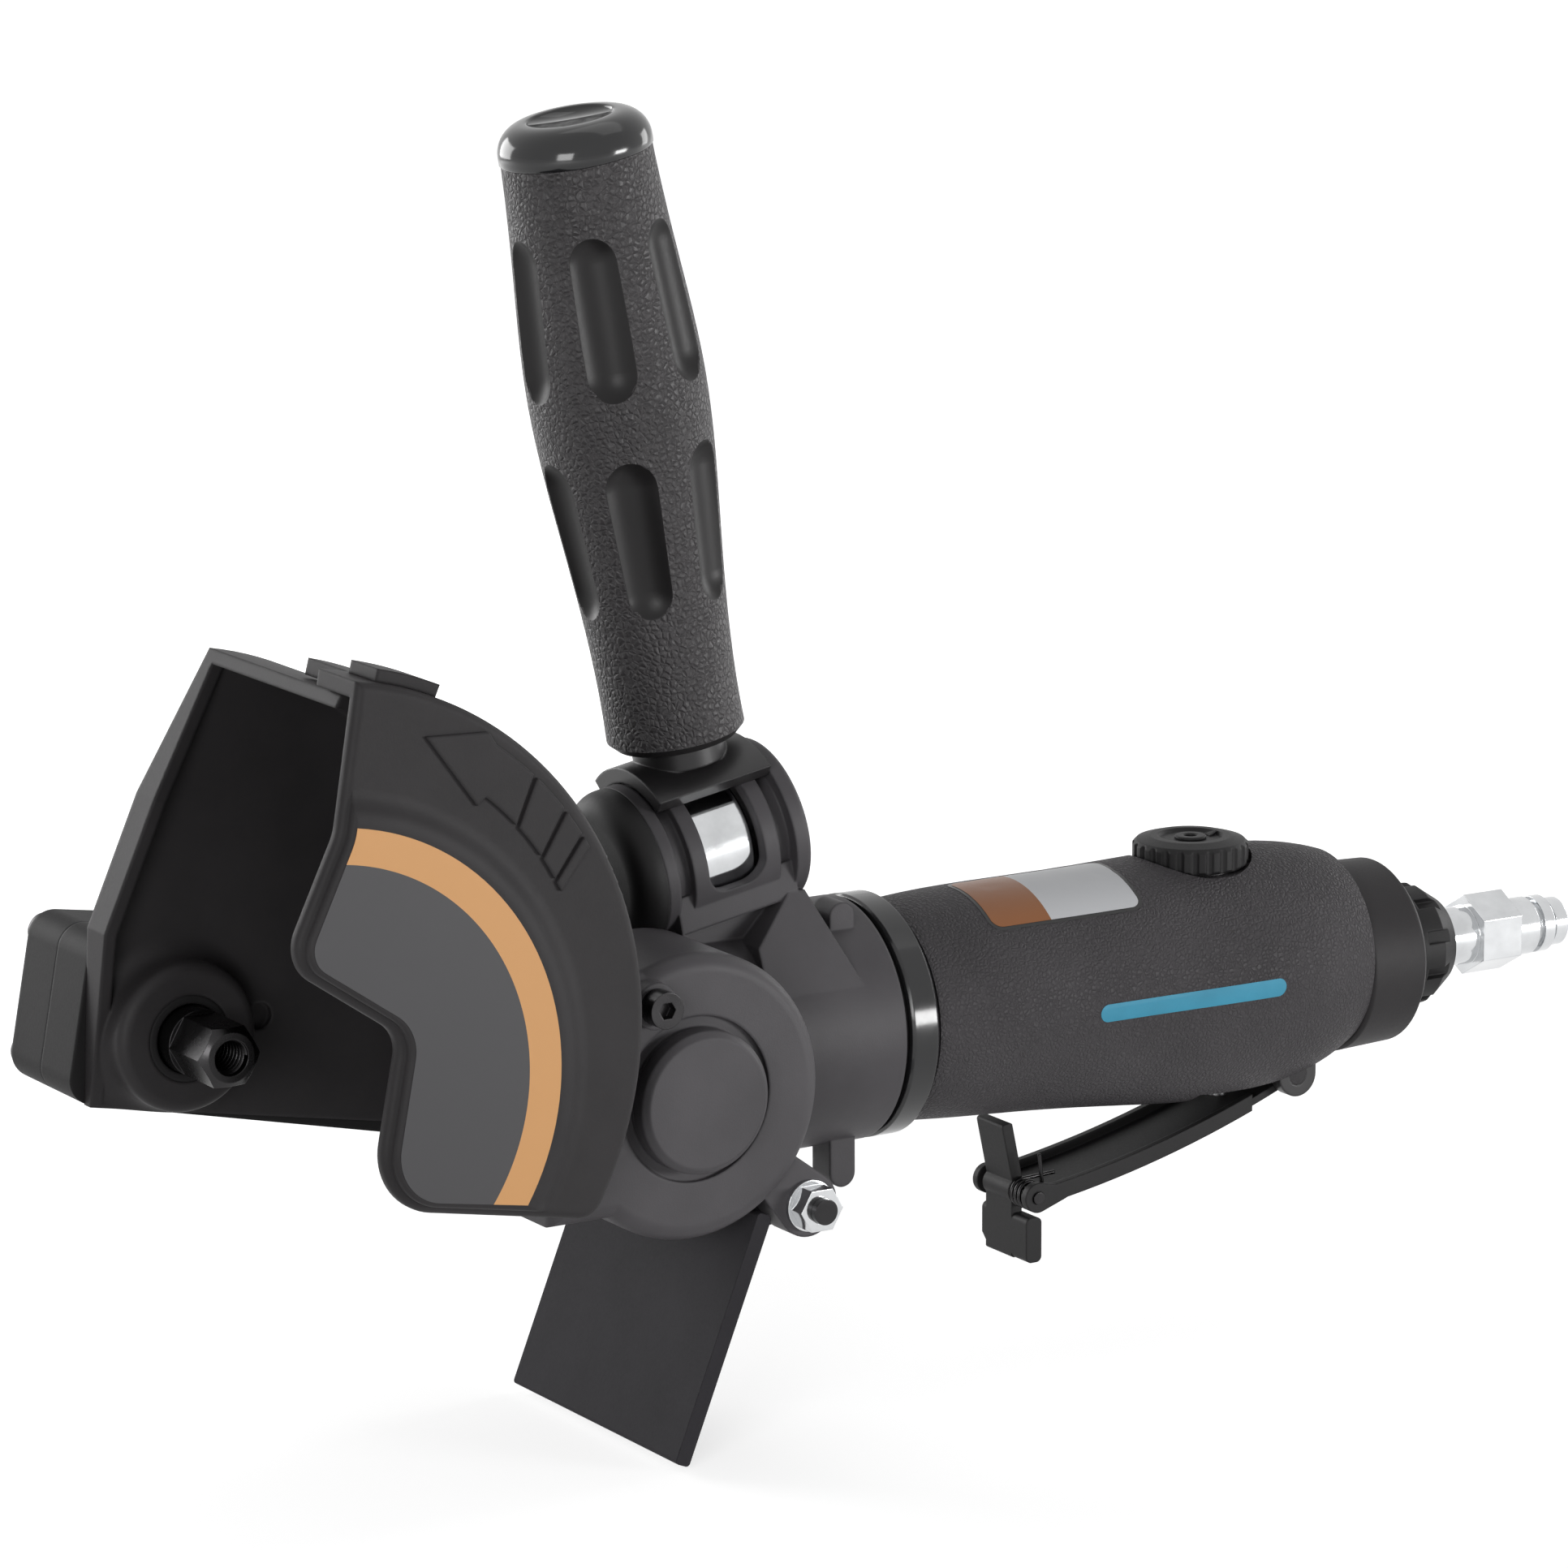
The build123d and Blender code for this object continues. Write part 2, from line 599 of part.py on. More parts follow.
def bevel_gear():
    """Large bevel gear in front of the motor axis, with its hub."""
    apex = Plane(origin=(GEAR_X, MOTOR_Y, GEAR_Z), x_dir=(1, 0, 0), z_dir=(0, -1, 0))
    body = gear_at(apex, GEAR_TEETH, PINION_TEETH, 0.5)
    body += rod_y(GEAR, SPINDLE_RADIUS + 4, CAP_SEAT + 1, MOTOR_Y - gear_back())
    return body - rod_y(GEAR, SPINDLE_RADIUS, CASE_FRONT, ARM_BACK)


def bevel_pinion():
    """Small bevel pinion on the front end of the rotor shaft."""
    body = gear_at(MOTOR, PINION_TEETH, GEAR_TEETH, 0.0)
    body += rod(MOTOR, ROTOR_SHAFT + 2.5, pinion_back(), PINION_BEARING_STATION)
    return body - rod(MOTOR, ROTOR_SHAFT, 0, PINION_BEARING_STATION)


def guard_shell():
    """Back half of the wheel guard: back plate with the spindle boss, and the outer wall."""
    guard = guard_plane()
    floor = TOE_LIFT - TOE_HEIGHT / 2
    right = guard_edge(floor)
    top = math.sqrt(SHELL_RADIUS ** 2 - 0.36) + GUARD_CENTRE_V
    side = math.sqrt(0.5) * SHELL_RADIUS
    start = GUARD_CENTRE_U + 0.6
    corners = [(start, top), (-TOE_OVERHANG + 5.1, top * 0.61), (-TOE_OVERHANG - 1.0, top * 0.25),
               (-TOE_OVERHANG + 3.6, floor)]
    edge = Polyline(*corners, (right, floor))
    crown = ThreePointArc((right, floor), (GUARD_CENTRE_U + side, GUARD_CENTRE_V + side), (start, top))
    outline = make_face(edge.edges() + crown.edges())
    back = ARM_FRONT
    inside = back - GUARD_WALL
    body = slab(ARM, outline, SHELL_LIP, back)
    hollow = outline & (guard_disc(SHELL_RADIUS - GUARD_WALL))
    body -= slab(ARM, hollow, SHELL_LIP, inside)
    mouth = Pos(0, floor - FAR / 2) * Rectangle(2 * FAR, FAR)
    mouth += Pos(GUARD_CENTRE_U - FAR / 2, 0) * Rectangle(FAR, 2 * FAR)
    body -= slab(ARM, mouth - guard_ring_keep(), SHELL_LIP, inside)
    body += edge_walls(corners, back) & slab(ARM, outline, BOSS_FACE, back)
    body += spindle_boss(inside, back) & slab(ARM, outline, BOSS_FACE, back)
    body -= rod_y(SPINDLE, BOSS_RECESS_RADIUS, BOSS_FACE, BOSS_FACE + 3)
    body -= rod_y(SPINDLE, SPINDLE_RADIUS + 1, 0, back)
    hole_at = BOSS_RADIUS + BOSS_FOOT * (inside - BOSS_FACE)
    body -= rod_y(shifted(ARM, hole_at, SPY_HOLE_UP), SPY_HOLE_RADIUS, 0, inside + GUARD_WALL / 2)
    return body


def edge_walls(corners, back):
    """Low wall along the guard's open edge, its depth changing from corner to corner."""
    walls = Part()
    for index in range(len(corners) - 1):
        first = Vector(*corners[index])
        along = Vector(*corners[index + 1]) - first
        inward = Vector(-along.Y, along.X)
        spot = Plane(origin=(first.X, first.Y, -back), x_dir=along, z_dir=inward)
        side = polygon((0, 0), (along.length, 0), (along.length, -EDGE_DEPTHS[index + 1]),
                       (0, -EDGE_DEPTHS[index]))
        walls += ARM.location * spot.location * extrude(side, GUARD_WALL)
    return walls


def spindle_boss(inside, back):
    """Round boss about the spindle: rounded front edge and a hollow sweep into the back plate."""
    height = inside - BOSS_FACE
    edge = BOSS_EDGE * height
    sweep_radius = BOSS_FOOT * height
    foot = BOSS_RADIUS + sweep_radius
    nose = quarter((BOSS_RADIUS - edge, -BOSS_FACE - edge), edge, 0)
    flare = quarter((foot, -inside + sweep_radius), sweep_radius, 180)
    rest = Polyline((foot, -inside), (foot, -back), (0, -back), (0, -BOSS_FACE),
                    (BOSS_RADIUS - edge, -BOSS_FACE))
    side = Line((BOSS_RADIUS, -BOSS_FACE - edge), (BOSS_RADIUS, -inside + sweep_radius))
    return revolved(SPINDLE, nose, side, flare, rest)


def guard_disc(radius):
    """Disc about the centre of the guard's arc, in arm coordinates."""
    return Pos(GUARD_CENTRE_U, GUARD_CENTRE_V) * Circle(radius)


def guard_ring_keep():
    """Ring of the guard's outer wall, in arm coordinates."""
    return guard_disc(SHELL_RADIUS) - guard_disc(SHELL_RADIUS - GUARD_WALL)


def cover_outline():
    """Guard cover from the front, with the opening round the spindle on its left."""
    low = TOE_LIFT - TOE_HEIGHT / 2 - COVER_DROP
    reach = 2 * COVER_RADIUS
    foot = (COVER_FOOT, low)
    corners = [(COVER_TOP_EDGE, reach), COVER_LIP, COVER_NOSE, COVER_NOTCH, foot, (reach, low),
               (reach, reach)]
    face = polygon(*corners)
    rounds = [(COVER_NOSE, COVER_NOSE_ROUND), (COVER_NOTCH, COVER_NOTCH_ROUND), (foot, COVER_FOOT_ROUND),
              (COVER_LIP, COVER_LIP_ROUND)]
    for spot, radius in rounds:
        vertex = face.vertices().sort_by_distance((spot[0], spot[1], 0))[0]
        face = fillet(vertex, radius)
    face = face & guard_disc(COVER_RADIUS)
    corner = face.vertices().sort_by_distance((COVER_RADIUS, low, 0))[0]
    return fillet(corner, COVER_CORNER)


def guard_cover():
    """Front half of the guard: face plate, rim over the shell, raised panel and top hook."""
    outline = cover_outline()
    inner = SHELL_RADIUS + COVER_CLEARANCE
    body = slab(ARM, outline, COVER_FRONT, COVER_FRONT + GUARD_WALL)
    rim = outline - guard_disc(inner)
    body += slab(ARM, rim, COVER_FRONT, COVER_BACK)
    body = fillet(body.faces().sort_by(Axis.Y)[0].outer_wire().edges(), COVER_FILLET)
    panel = slab(ARM, offset(outline, -PLATEAU_MARGIN), COVER_FRONT - PLATEAU_HEIGHT, COVER_FRONT)
    panel = fillet(panel.faces().sort_by(Axis.Y)[0].edges(), PLATEAU_EDGE)
    body += panel & panel_shoulder()
    hook = sector(inner, COVER_RADIUS, HOOK_START, HOOK_START + HOOK_SWEEP)
    return body + slab(guard_plane(), hook, COVER_FRONT + GUARD_WALL, HOOK_BACK)


def panel_shoulder():
    """Round table whose edge rolls down in two arcs to the cover's face."""
    low = -COVER_FRONT
    high = low + PLATEAU_HEIGHT
    half_way = (PLATEAU_RADIUS + PLATEAU_SHOULDER / 2, (low + high) / 2)
    roll = TangentArc((PLATEAU_RADIUS, high), half_way, tangent=(1, 0))
    sink = TangentArc(half_way, (PLATEAU_RADIUS + PLATEAU_SHOULDER, low), tangent=roll % 1)
    rest = Polyline((PLATEAU_RADIUS + PLATEAU_SHOULDER, low), (0, low), (0, high), (PLATEAU_RADIUS, high))
    return revolved(SPINDLE, roll, sink, rest)


def guard_latch():
    """Spring plate on top of the cover's rim."""
    plate = sector(COVER_RADIUS, COVER_RADIUS + LATCH_HEIGHT, LATCH_START, LATCH_START + LATCH_SWEEP)
    return slab(guard_plane(), plate, COVER_FRONT + 3, COVER_BACK - 2)


def gear_case():
    """Right-angle casting: round body, neck, handle drum, flap ears and clamp lugs."""
    cheek = Pos(-CASE_LEFT / 2, (CASE_TOP - CASE_BOTTOM) / 2) * Rectangle(CASE_LEFT, CASE_TOP + CASE_BOTTOM)
    body = slab(GEAR, Circle(CASE_RADIUS) + cheek, CASE_FRONT, ARM_FRONT)
    body = fillet(body.faces().sort_by(Axis.Y)[0].edges(), CASE_FILLET)
    neck = rod(MOTOR, NECK_RADIUS, 0, NECK_END)
    behind = Pos(GEAR_X + HEEL_RADIUS + PART_GAP - FAR / 2, ARM_FRONT + FAR / 2, GEAR_Z) * Box(FAR, FAR, FAR)
    body += neck - behind
    body += neck_lugs() + case_gusset()
    body -= rod_y(guard_plane(), SHELL_RADIUS + PART_GAP, CASE_FRONT - 5, ARM_FRONT)
    body -= rod_y(FLAP, KNUCKLE_RADIUS + 2.4, FLAP_FRONT, FAR)
    body += drum_casting()
    body -= rod(DRUM, DRUM_RADIUS + PART_GAP, -FAR, -DRUM_LEFT)
    body += flap_ears()
    body += rod_y(shifted(GEAR, POST_ACROSS, POST_UP), POST_RADIUS + 1, CASE_FRONT - 3, CASE_FRONT + 3)
    body -= slab(ARM, arm_outline(-PART_GAP), ARM_FRONT, FAR)
    return body - case_hollows()


def neck_lugs():
    """Round-ended lugs above and below the neck, on its near side."""
    lugs = Part()
    for tip in LUG_TIPS:
        end = abs(tip) - LUG_LENGTH / 2
        spots = [Pos(LUG_STATION, math.copysign(up, tip)) * Circle(LUG_LENGTH / 2) for up in (NECK_BORE, end)]
        lug = make_hull(spots[0].edges() + spots[1].edges())
        lugs += slab(GEAR, lug, MOTOR_Y - LUG_FRONT, MOTOR_Y - LUG_BACK)
    return lugs


def case_gusset():
    """Three-cornered web from the drum's flange down on to the neck, leaning out with the neck's round."""
    foot = math.sqrt(NECK_RADIUS ** 2 - GUSSET_LOW ** 2)
    section = polygon((GUSSET_TOP, BASE_HALF_WIDTH), (GUSSET_LOW, foot), (GUSSET_LOW, 0), (GUSSET_TOP, 0))
    web = MOTOR.location * Pos(0, 0, GUSSET_START) * extrude(section, GUSSET_FOOT_STATION - GUSSET_START)
    side = polygon((GUSSET_START, GUSSET_LOW), (GUSSET_START, (GUSSET_LOW + GUSSET_TOP) / 2),
                   (GUSSET_TOP_STATION - FLANGE_THICKNESS, GUSSET_TOP), (GUSSET_TOP_STATION, GUSSET_TOP),
                   (GUSSET_FOOT_STATION, GUSSET_LOW))
    return web & slab(GEAR, side, MOTOR_Y - NECK_RADIUS, MOTOR_Y)


def case_hollows():
    """Everything bored out of the gear case."""
    cavity = GEAR_MODULE * GEAR_TEETH / 2 + CASE_CAVITY_GAP
    gear_room = rod_y(GEAR, cavity, CAP_SEAT + 0.8, ARM_FRONT)
    cap_bore = rod_y(GEAR, CAP_RADIUS - 2, CASE_FRONT, CAP_SEAT + 0.8)
    groove = tube_y(GEAR, CAP_RADIUS + CAP_GROOVE, CAP_RADIUS, CASE_FRONT, CASE_FRONT + 1)
    pinion_seat = rod(MOTOR, PINION_BEARING_RADIUS, 0, PINION_BEARING_STATION + BEARING_WIDTH + 3)
    motor_seat = rod(MOTOR, NECK_BORE, PINION_BEARING_STATION + BEARING_WIDTH + 3, NECK_END)
    shaft = rod(MOTOR, PINION_BEARING_RADIUS - 2, 0, NECK_END)
    hollows = gear_room + cap_bore + groove + pinion_seat + motor_seat + shaft
    hollows += rod_y(shifted(GEAR, POST_ACROSS, POST_UP), ARM_SCREW_RADIUS, CASE_FRONT - 4, CASE_FRONT + 8)
    for frame in case_screw_frames():
        hollows += rod_y(frame, ARM_SCREW_RADIUS, ARM_FRONT - 7, ARM_FRONT)
    return hollows + drum_hollow()


def drum_casting():
    """Fixed barrel for the side handle: end flange, two grooves, base block and foot."""
    barrel = rod(DRUM, DRUM_RADIUS, -DRUM_LEFT, DRUM_RIGHT)
    flange = rod(DRUM, FLANGE_RADIUS, DRUM_RIGHT - FLANGE_THICKNESS, DRUM_RIGHT)
    flange = fillet(flange.faces().sort_by(DRUM_AXIS)[-1].edges(), FLANGE_EDGE)
    body = barrel + flange
    left_groove = -DRUM_LEFT + FLANGE_THICKNESS - 1
    right_groove = DRUM_RIGHT - FLANGE_THICKNESS - DRUM_GROOVE_WIDTH
    for station in (left_groove, right_groove):
        body -= tube(DRUM, FLANGE_RADIUS, DRUM_RADIUS - DRUM_GROOVE, station, station + DRUM_GROOVE_WIDTH)
    base = Pos(-BASE_DROP * 0.7, 0, 0) * Box(BASE_DROP * 0.6, 2 * BASE_HALF_WIDTH, 2 * BASE_HALF_LENGTH)
    foot_height = DRUM_HEIGHT - NECK_RADIUS / 2
    foot = Pos(DRUM_CENTRE[0], MOTOR_Y, GEAR_Z + NECK_RADIUS / 2 + foot_height / 2)
    foot = foot * Box(2 * DRUM_RIGHT - FOOT_SHORTER, 2 * (BASE_HALF_WIDTH - FOOT_INSET), foot_height)
    return body + DRUM.location * base + foot


def drum_hollow():
    """Bore of the handle drum and its round-bottomed window, open over the top."""
    bore = rod(DRUM, DRUM_BORE, -DRUM_LEFT, DRUM_RIGHT - FLANGE_THICKNESS)
    low = DRUM_RADIUS * math.cos(math.radians(WINDOW_ANGLE))
    side = Plane(origin=DRUM_CENTRE, x_dir=DRUM.z_dir, z_dir=(0, -1, 0))
    opening = Pos(0, low + DRUM_RADIUS) * RectangleRounded(WINDOW_WIDTH, 2 * DRUM_RADIUS, WINDOW_ROUND)
    opening += Pos(0, DRUM_RADIUS) * Rectangle(WINDOW_WIDTH, DRUM_RADIUS)
    ring = rod(DRUM, DRUM_RADIUS + PART_GAP, -WINDOW_WIDTH, WINDOW_WIDTH)
    return bore + (slab(side, opening, -2 * DRUM_RADIUS, 2 * DRUM_RADIUS) & ring)


def flap_ears():
    """Ears under the case that carry the flap bolt."""
    ears = Part()
    for front in (FLAP_FRONT, FLAP_FRONT + EAR_THICKNESS + EAR_SPREAD):
        ear = make_hull(Circle(FLAP_EAR_RADIUS).edges() + (Pos(-11, 11) * Circle(4)).edges())
        ear_solid = slab(FLAP, ear, front, front + EAR_THICKNESS)
        ears += ear_solid - rod_y(FLAP, FLAP_BOLT_RADIUS, front, front + EAR_THICKNESS)
    return ears


def gear_case_cap():
    """Round cap over the front bearing of the gear shaft."""
    body = turned(GEAR, (0, -CASE_FRONT + CAP_HEIGHT), (CAP_RADIUS - 1.2, -CASE_FRONT + CAP_HEIGHT),
                  (CAP_RADIUS, -CASE_FRONT + CAP_HEIGHT - 1.2), (CAP_RADIUS, -CASE_FRONT),
                  (CAP_RADIUS - 2, -CASE_FRONT), (CAP_RADIUS - 2, -CAP_SEAT), (0, -CAP_SEAT))
    return body - rod_y(GEAR, BEARING_RADIUS, GEAR_BEARING, CAP_SEAT)


def guard_screw():
    """Socket-head screw on the case's post that clamps the guard."""
    frame = shifted(GEAR, POST_ACROSS, POST_UP)
    head_back = CASE_FRONT - 3
    head = rod_y(frame, POST_RADIUS, head_back - POST_HEIGHT + 3, head_back)
    head -= slab(frame, RegularPolygon(1.75, 6), head_back - POST_HEIGHT, head_back - POST_HEIGHT + 5)
    return head + rod_y(frame, ARM_SCREW_RADIUS, head_back, CASE_FRONT + 7.5)


def neck_ring():
    """Gloss clamp ring between the neck and the grip."""
    end = RING_START + RING_LENGTH
    bore = RING_RADIUS - 3
    return turned(MOTOR, (bore, RING_START), (RING_RADIUS - 0.5, RING_START), (RING_RADIUS, RING_START + 0.5),
                  (RING_RADIUS, end - 0.8), (RING_RADIUS - 0.8, end), (bore, end))


def motor_housing():
    """Metal body inside the grip: motor bore, rear block with valve and inlet bores, lever ears."""
    ring_end = RING_START + RING_LENGTH
    body = turned(MOTOR, (0, MOTOR_START), (NECK_BORE, MOTOR_START), (NECK_BORE, NECK_END),
                  (RING_RADIUS - 1.6, NECK_END), (RING_RADIUS - 1.6, RING_START),
                  (RING_RADIUS - 3, RING_START), (RING_RADIUS - 3, ring_end),
                  (HOUSING_RADIUS, SLEEVE_START), (HOUSING_RADIUS, HOUSING_END), (0, HOUSING_END))
    for side in (1, -1):
        front = side * (LEVER_TONGUE + BRACKET_OUTER + 0.4) / 2
        thickness = BRACKET_OUTER - LEVER_TONGUE - 0.4
        root = Pos(0, LEVER_DROP - 12) * Circle(BRACKET_RADIUS)
        ear = make_hull(Circle(BRACKET_RADIUS).edges() + root.edges())
        body += LEVER.location * Pos(0, 0, front - thickness / 2) * extrude(ear, thickness)
    body -= rod(MOTOR, MOTOR_BORE, MOTOR_START, MOTOR_END)
    body -= rod(INLET, BUSHING_RADIUS, HOUSING_END - 6, HOUSING_END)
    body -= rod(INLET, NIPPLE_BARREL_RADIUS, VALVE_STATION + 6, HOUSING_END)
    body -= rod(VALVE, VALVE_BUSH_RADIUS, -HOUSING_RADIUS - 5, VALVE_BORE_TOP)
    body -= rod(KNOB, STEM_RADIUS + RUNNING_CLEARANCE, STEM_BOTTOM, HOUSING_RADIUS + 1)
    tongue_room = Pos(-10, BRACKET_RADIUS - 15) * Rectangle(30, 30)
    body -= LEVER.location * Pos(0, 0, -LEVER_TONGUE - 0.4) * extrude(tongue_room, 2 * LEVER_TONGUE + 0.8)
    return body - lever_pin_hole()


def lever_pin_hole():
    """Hole for the lever's pin through both ears."""
    return LEVER.location * Pos(0, 0, 0) * Cylinder(LEVER_PIN_RADIUS, 2 * BRACKET_OUTER + 2)


def sleeve_section(station, radius, depth):
    """Grip section: half round above the axis and half an ellipse of its own depth below it."""
    upper = ThreePointArc((0, radius), (radius, 0), (0, -radius))
    lower = EllipticalCenterArc((0, 0), depth, radius, start_angle=90, arc_size=180)
    face = make_face(upper.edges() + lower.edges())
    return MOTOR.location * Pos(0, 0, station) * face


def grip_sleeve():
    """Soft sleeve over the housing, swelling below into the valve belly, with a lip behind the housing."""
    sections = [sleeve_section(SLEEVE_START + share * (SLEEVE_END - SLEEVE_START), HOUSING_RADIUS + wall,
                               HOUSING_RADIUS + belly) for share, wall, belly in SLEEVE_SWELL]
    body = loft(sections)
    body -= rod(MOTOR, HOUSING_RADIUS, SLEEVE_START, HOUSING_END)
    body -= rod(INLET, BUSHING_RADIUS, HOUSING_END, SLEEVE_END)
    body -= rod(KNOB, KNOB_RADIUS + KNOB_MARGIN, KNOB_BOTTOM - KNOB_SINK, FAR)
    body -= rod(KNOB, COLLAR_RADIUS, HOUSING_RADIUS - COLLAR_HEIGHT, FAR)
    slot = Pos(LEVER_SLOT_SHIFT, LEVER_SLOT_TOP - FAR / 2) * Rectangle(LEVER_SLOT, FAR)
    return body - LEVER.location * Pos(0, 0, -BRACKET_OUTER) * extrude(slot, 2 * BRACKET_OUTER)


def motor_cylinder():
    """Liner of the vane motor, bored off centre."""
    start = MOTOR_START + END_PLATE
    end = MOTOR_END - END_PLATE
    body = rod(MOTOR, MOTOR_BORE, start, end)
    bore = MOTOR.location * Pos(LINER_OFFSET, 0, (start + end) / 2) * Cylinder(LINER_BORE, end - start)
    return body - bore


def end_plate(start, bearing_start):
    """End plate of the vane motor with its bearing seat."""
    body = rod(MOTOR, MOTOR_BORE, start, start + END_PLATE)
    body -= rod(MOTOR, ROTOR_SHAFT + 1, start, start + END_PLATE)
    return body - rod(MOTOR, ROTOR_BEARING_RADIUS, bearing_start, bearing_start + BEARING_WIDTH)


def motor_bearing(radius, station):
    """Ball bearing on the rotor shaft."""
    return tube(MOTOR, radius, ROTOR_SHAFT + RUNNING_CLEARANCE, station, station + BEARING_WIDTH)


def rotor_bearings():
    """The two bearings in the motor's end plates and the one behind the pinion."""
    return [motor_bearing(ROTOR_BEARING_RADIUS, MOTOR_START),
            motor_bearing(ROTOR_BEARING_RADIUS, MOTOR_END - BEARING_WIDTH),
            motor_bearing(PINION_BEARING_RADIUS, PINION_BEARING_STATION + 3)]


def vane_slot(depth, thickness, start, end, lift):
    """Radial blade at the rotor's rim."""
    radius = ROTOR_RADIUS - depth / 2 - lift
    return Pos(radius, 0, (start + end) / 2) * Box(depth, thickness, end - start)


def rotor():
    """Slotted rotor with its shaft, which reaches forward to the pinion."""
    start = MOTOR_START + END_PLATE + 0.3
    end = MOTOR_END - END_PLATE - 0.3
    body = rod(Plane.XY, ROTOR_RADIUS, start, end)
    body += rod(Plane.XY, ROTOR_SHAFT, pinion_back() - GEAR_FACE, MOTOR_END)
    for index in range(VANE_COUNT):
        body -= Rot(0, 0, index * 360 / VANE_COUNT) * vane_slot(VANE_DEPTH, VANE_THICKNESS, start, end, 0)
    return MOTOR.location * body


def vanes():
    """Sliding vanes, parked flush in their slots."""
    start = MOTOR_START + END_PLATE + 0.4
    end = MOTOR_END - END_PLATE - 0.4
    blade = vane_slot(VANE_DEPTH - 0.1, VANE_THICKNESS, start, end, 0.1)
    return [MOTOR.location * Rot(0, 0, index * 360 / VANE_COUNT) * blade for index in range(VANE_COUNT)]


def exhaust_ring():
    """Rear exhaust deflector round the inlet bushing."""
    body = turned(INLET, (BUSHING_RADIUS, SLEEVE_END), (EXHAUST_RADIUS - 0.6, SLEEVE_END),
                  (EXHAUST_RADIUS, SLEEVE_END + 0.6), (EXHAUST_RADIUS - 0.5, EXHAUST_END - 1.2),
                  (EXHAUST_RADIUS - 1.7, EXHAUST_END), (BUSHING_RADIUS, EXHAUST_END))
    return body - turned(INLET, (BUSHING_COLLAR + 0.3, EXHAUST_END - 2.5),
                         (EXHAUST_RADIUS - 3, EXHAUST_END - 2.5), (EXHAUST_RADIUS - 3, EXHAUST_END),
                         (BUSHING_COLLAR + 0.3, EXHAUST_END))


def inlet_bushing():
    """Threaded bushing that carries the nipple, with a notched collar behind the exhaust ring."""
    body = rod(INLET, BUSHING_RADIUS, HOUSING_END - 6, EXHAUST_END)
    body += turned(INLET, (0, EXHAUST_END), (BUSHING_COLLAR, EXHAUST_END), (BUSHING_COLLAR, BUSHING_END - 5),
                   (BUSHING_COLLAR - 3.2, BUSHING_END), (0, BUSHING_END))
    for index in range(BUSHING_NOTCHES):
        turn = Rot(0, 0, index * 360 / BUSHING_NOTCHES)
        notch = turn * Pos(BUSHING_COLLAR, 0, BUSHING_END - 3) * Box(3, 2.6, 12)
        body -= INLET.location * notch
    return body - rod(INLET, NIPPLE_BARREL_RADIUS, HOUSING_END - 6, BUSHING_END)


def air_nipple():
    """Quick-coupling plug: thread, hex, barrel, locking ring and nose."""
    thread_start = BUSHING_END - 10
    barrel_end = NIPPLE_HEX_END + 5.8
    ring_start = barrel_end + 1.5
    ring_end = ring_start + 2.5
    nose_start = ring_end + 1.0
    body = turned(INLET, (0, thread_start), (NIPPLE_BARREL_RADIUS, thread_start),
                  (NIPPLE_BARREL_RADIUS, barrel_end), (NIPPLE_NECK_RADIUS, barrel_end + 0.6),
                  (NIPPLE_NECK_RADIUS, ring_start), (NIPPLE_RING_RADIUS, ring_start),
                  (NIPPLE_RING_RADIUS, ring_end), (NIPPLE_NECK_RADIUS, ring_end),
                  (NIPPLE_NECK_RADIUS, nose_start), (NIPPLE_NOSE_RADIUS, nose_start),
                  (NIPPLE_NOSE_RADIUS, NIPPLE_END - 0.6), (NIPPLE_NOSE_RADIUS - 0.6, NIPPLE_END),
                  (0, NIPPLE_END))
    hexagon = RegularPolygon(NIPPLE_HEX / math.sqrt(3), 6)
    body += INLET.location * Pos(0, 0, NIPPLE_HEX_START) * extrude(hexagon, NIPPLE_HEX_END - NIPPLE_HEX_START)
    return body - rod(INLET, NIPPLE_BORE, thread_start, NIPPLE_END)


def regulator_knob():
    """Fluted knob with a sunk centre."""
    top = KNOB_BOTTOM + KNOB_HEIGHT
    body = turned(KNOB, (0, KNOB_BOTTOM), (KNOB_RADIUS - 0.6, KNOB_BOTTOM), (KNOB_RADIUS, KNOB_BOTTOM + 0.6),
                  (KNOB_RADIUS, top - 0.8), (KNOB_RADIUS - 0.8, top), (KNOB_RADIUS - 3.4, top + 0.7),
                  (KNOB_RADIUS - 5.0, top + 0.7), (KNOB_RADIUS - 5.6, top), (0, top))
    flute = Pos(KNOB_RADIUS + 0.35, 0, KNOB_BOTTOM + KNOB_HEIGHT / 2) * Cylinder(0.9, KNOB_HEIGHT)
    cuts = [KNOB.location * Rot(0, 0, index * 360 / KNOB_FLUTES) * flute for index in range(KNOB_FLUTES)]
    return body - cuts - rod(KNOB, STEM_RADIUS - 1, 0, KNOB_BOTTOM + 3)


def regulator_stem():
    """Rotary valve stem under the knob."""
    stem = rod(KNOB, STEM_RADIUS, STEM_BOTTOM + 0.1, KNOB_BOTTOM - COLLAR_HEIGHT - 0.2)
    return stem + rod(KNOB, STEM_RADIUS - 1, KNOB_BOTTOM - COLLAR_HEIGHT - 0.2, KNOB_BOTTOM + 3)


def regulator_collar():
    """Collar screwed into the housing that keeps the stem in."""
    top = KNOB_BOTTOM - 0.2
    body = rod(KNOB, COLLAR_RADIUS, top - COLLAR_HEIGHT, top)
    body -= rod(KNOB, STEM_RADIUS - 1 + RUNNING_CLEARANCE, top - COLLAR_HEIGHT, top)
    return body - rod(MOTOR, HOUSING_RADIUS, 0, SLEEVE_END)


def lever_run():
    """Offsets from the lever's pin to the catch's pin, across and down."""
    return CATCH_STATION - LEVER_STATION, CATCH_DROP - LEVER_DROP


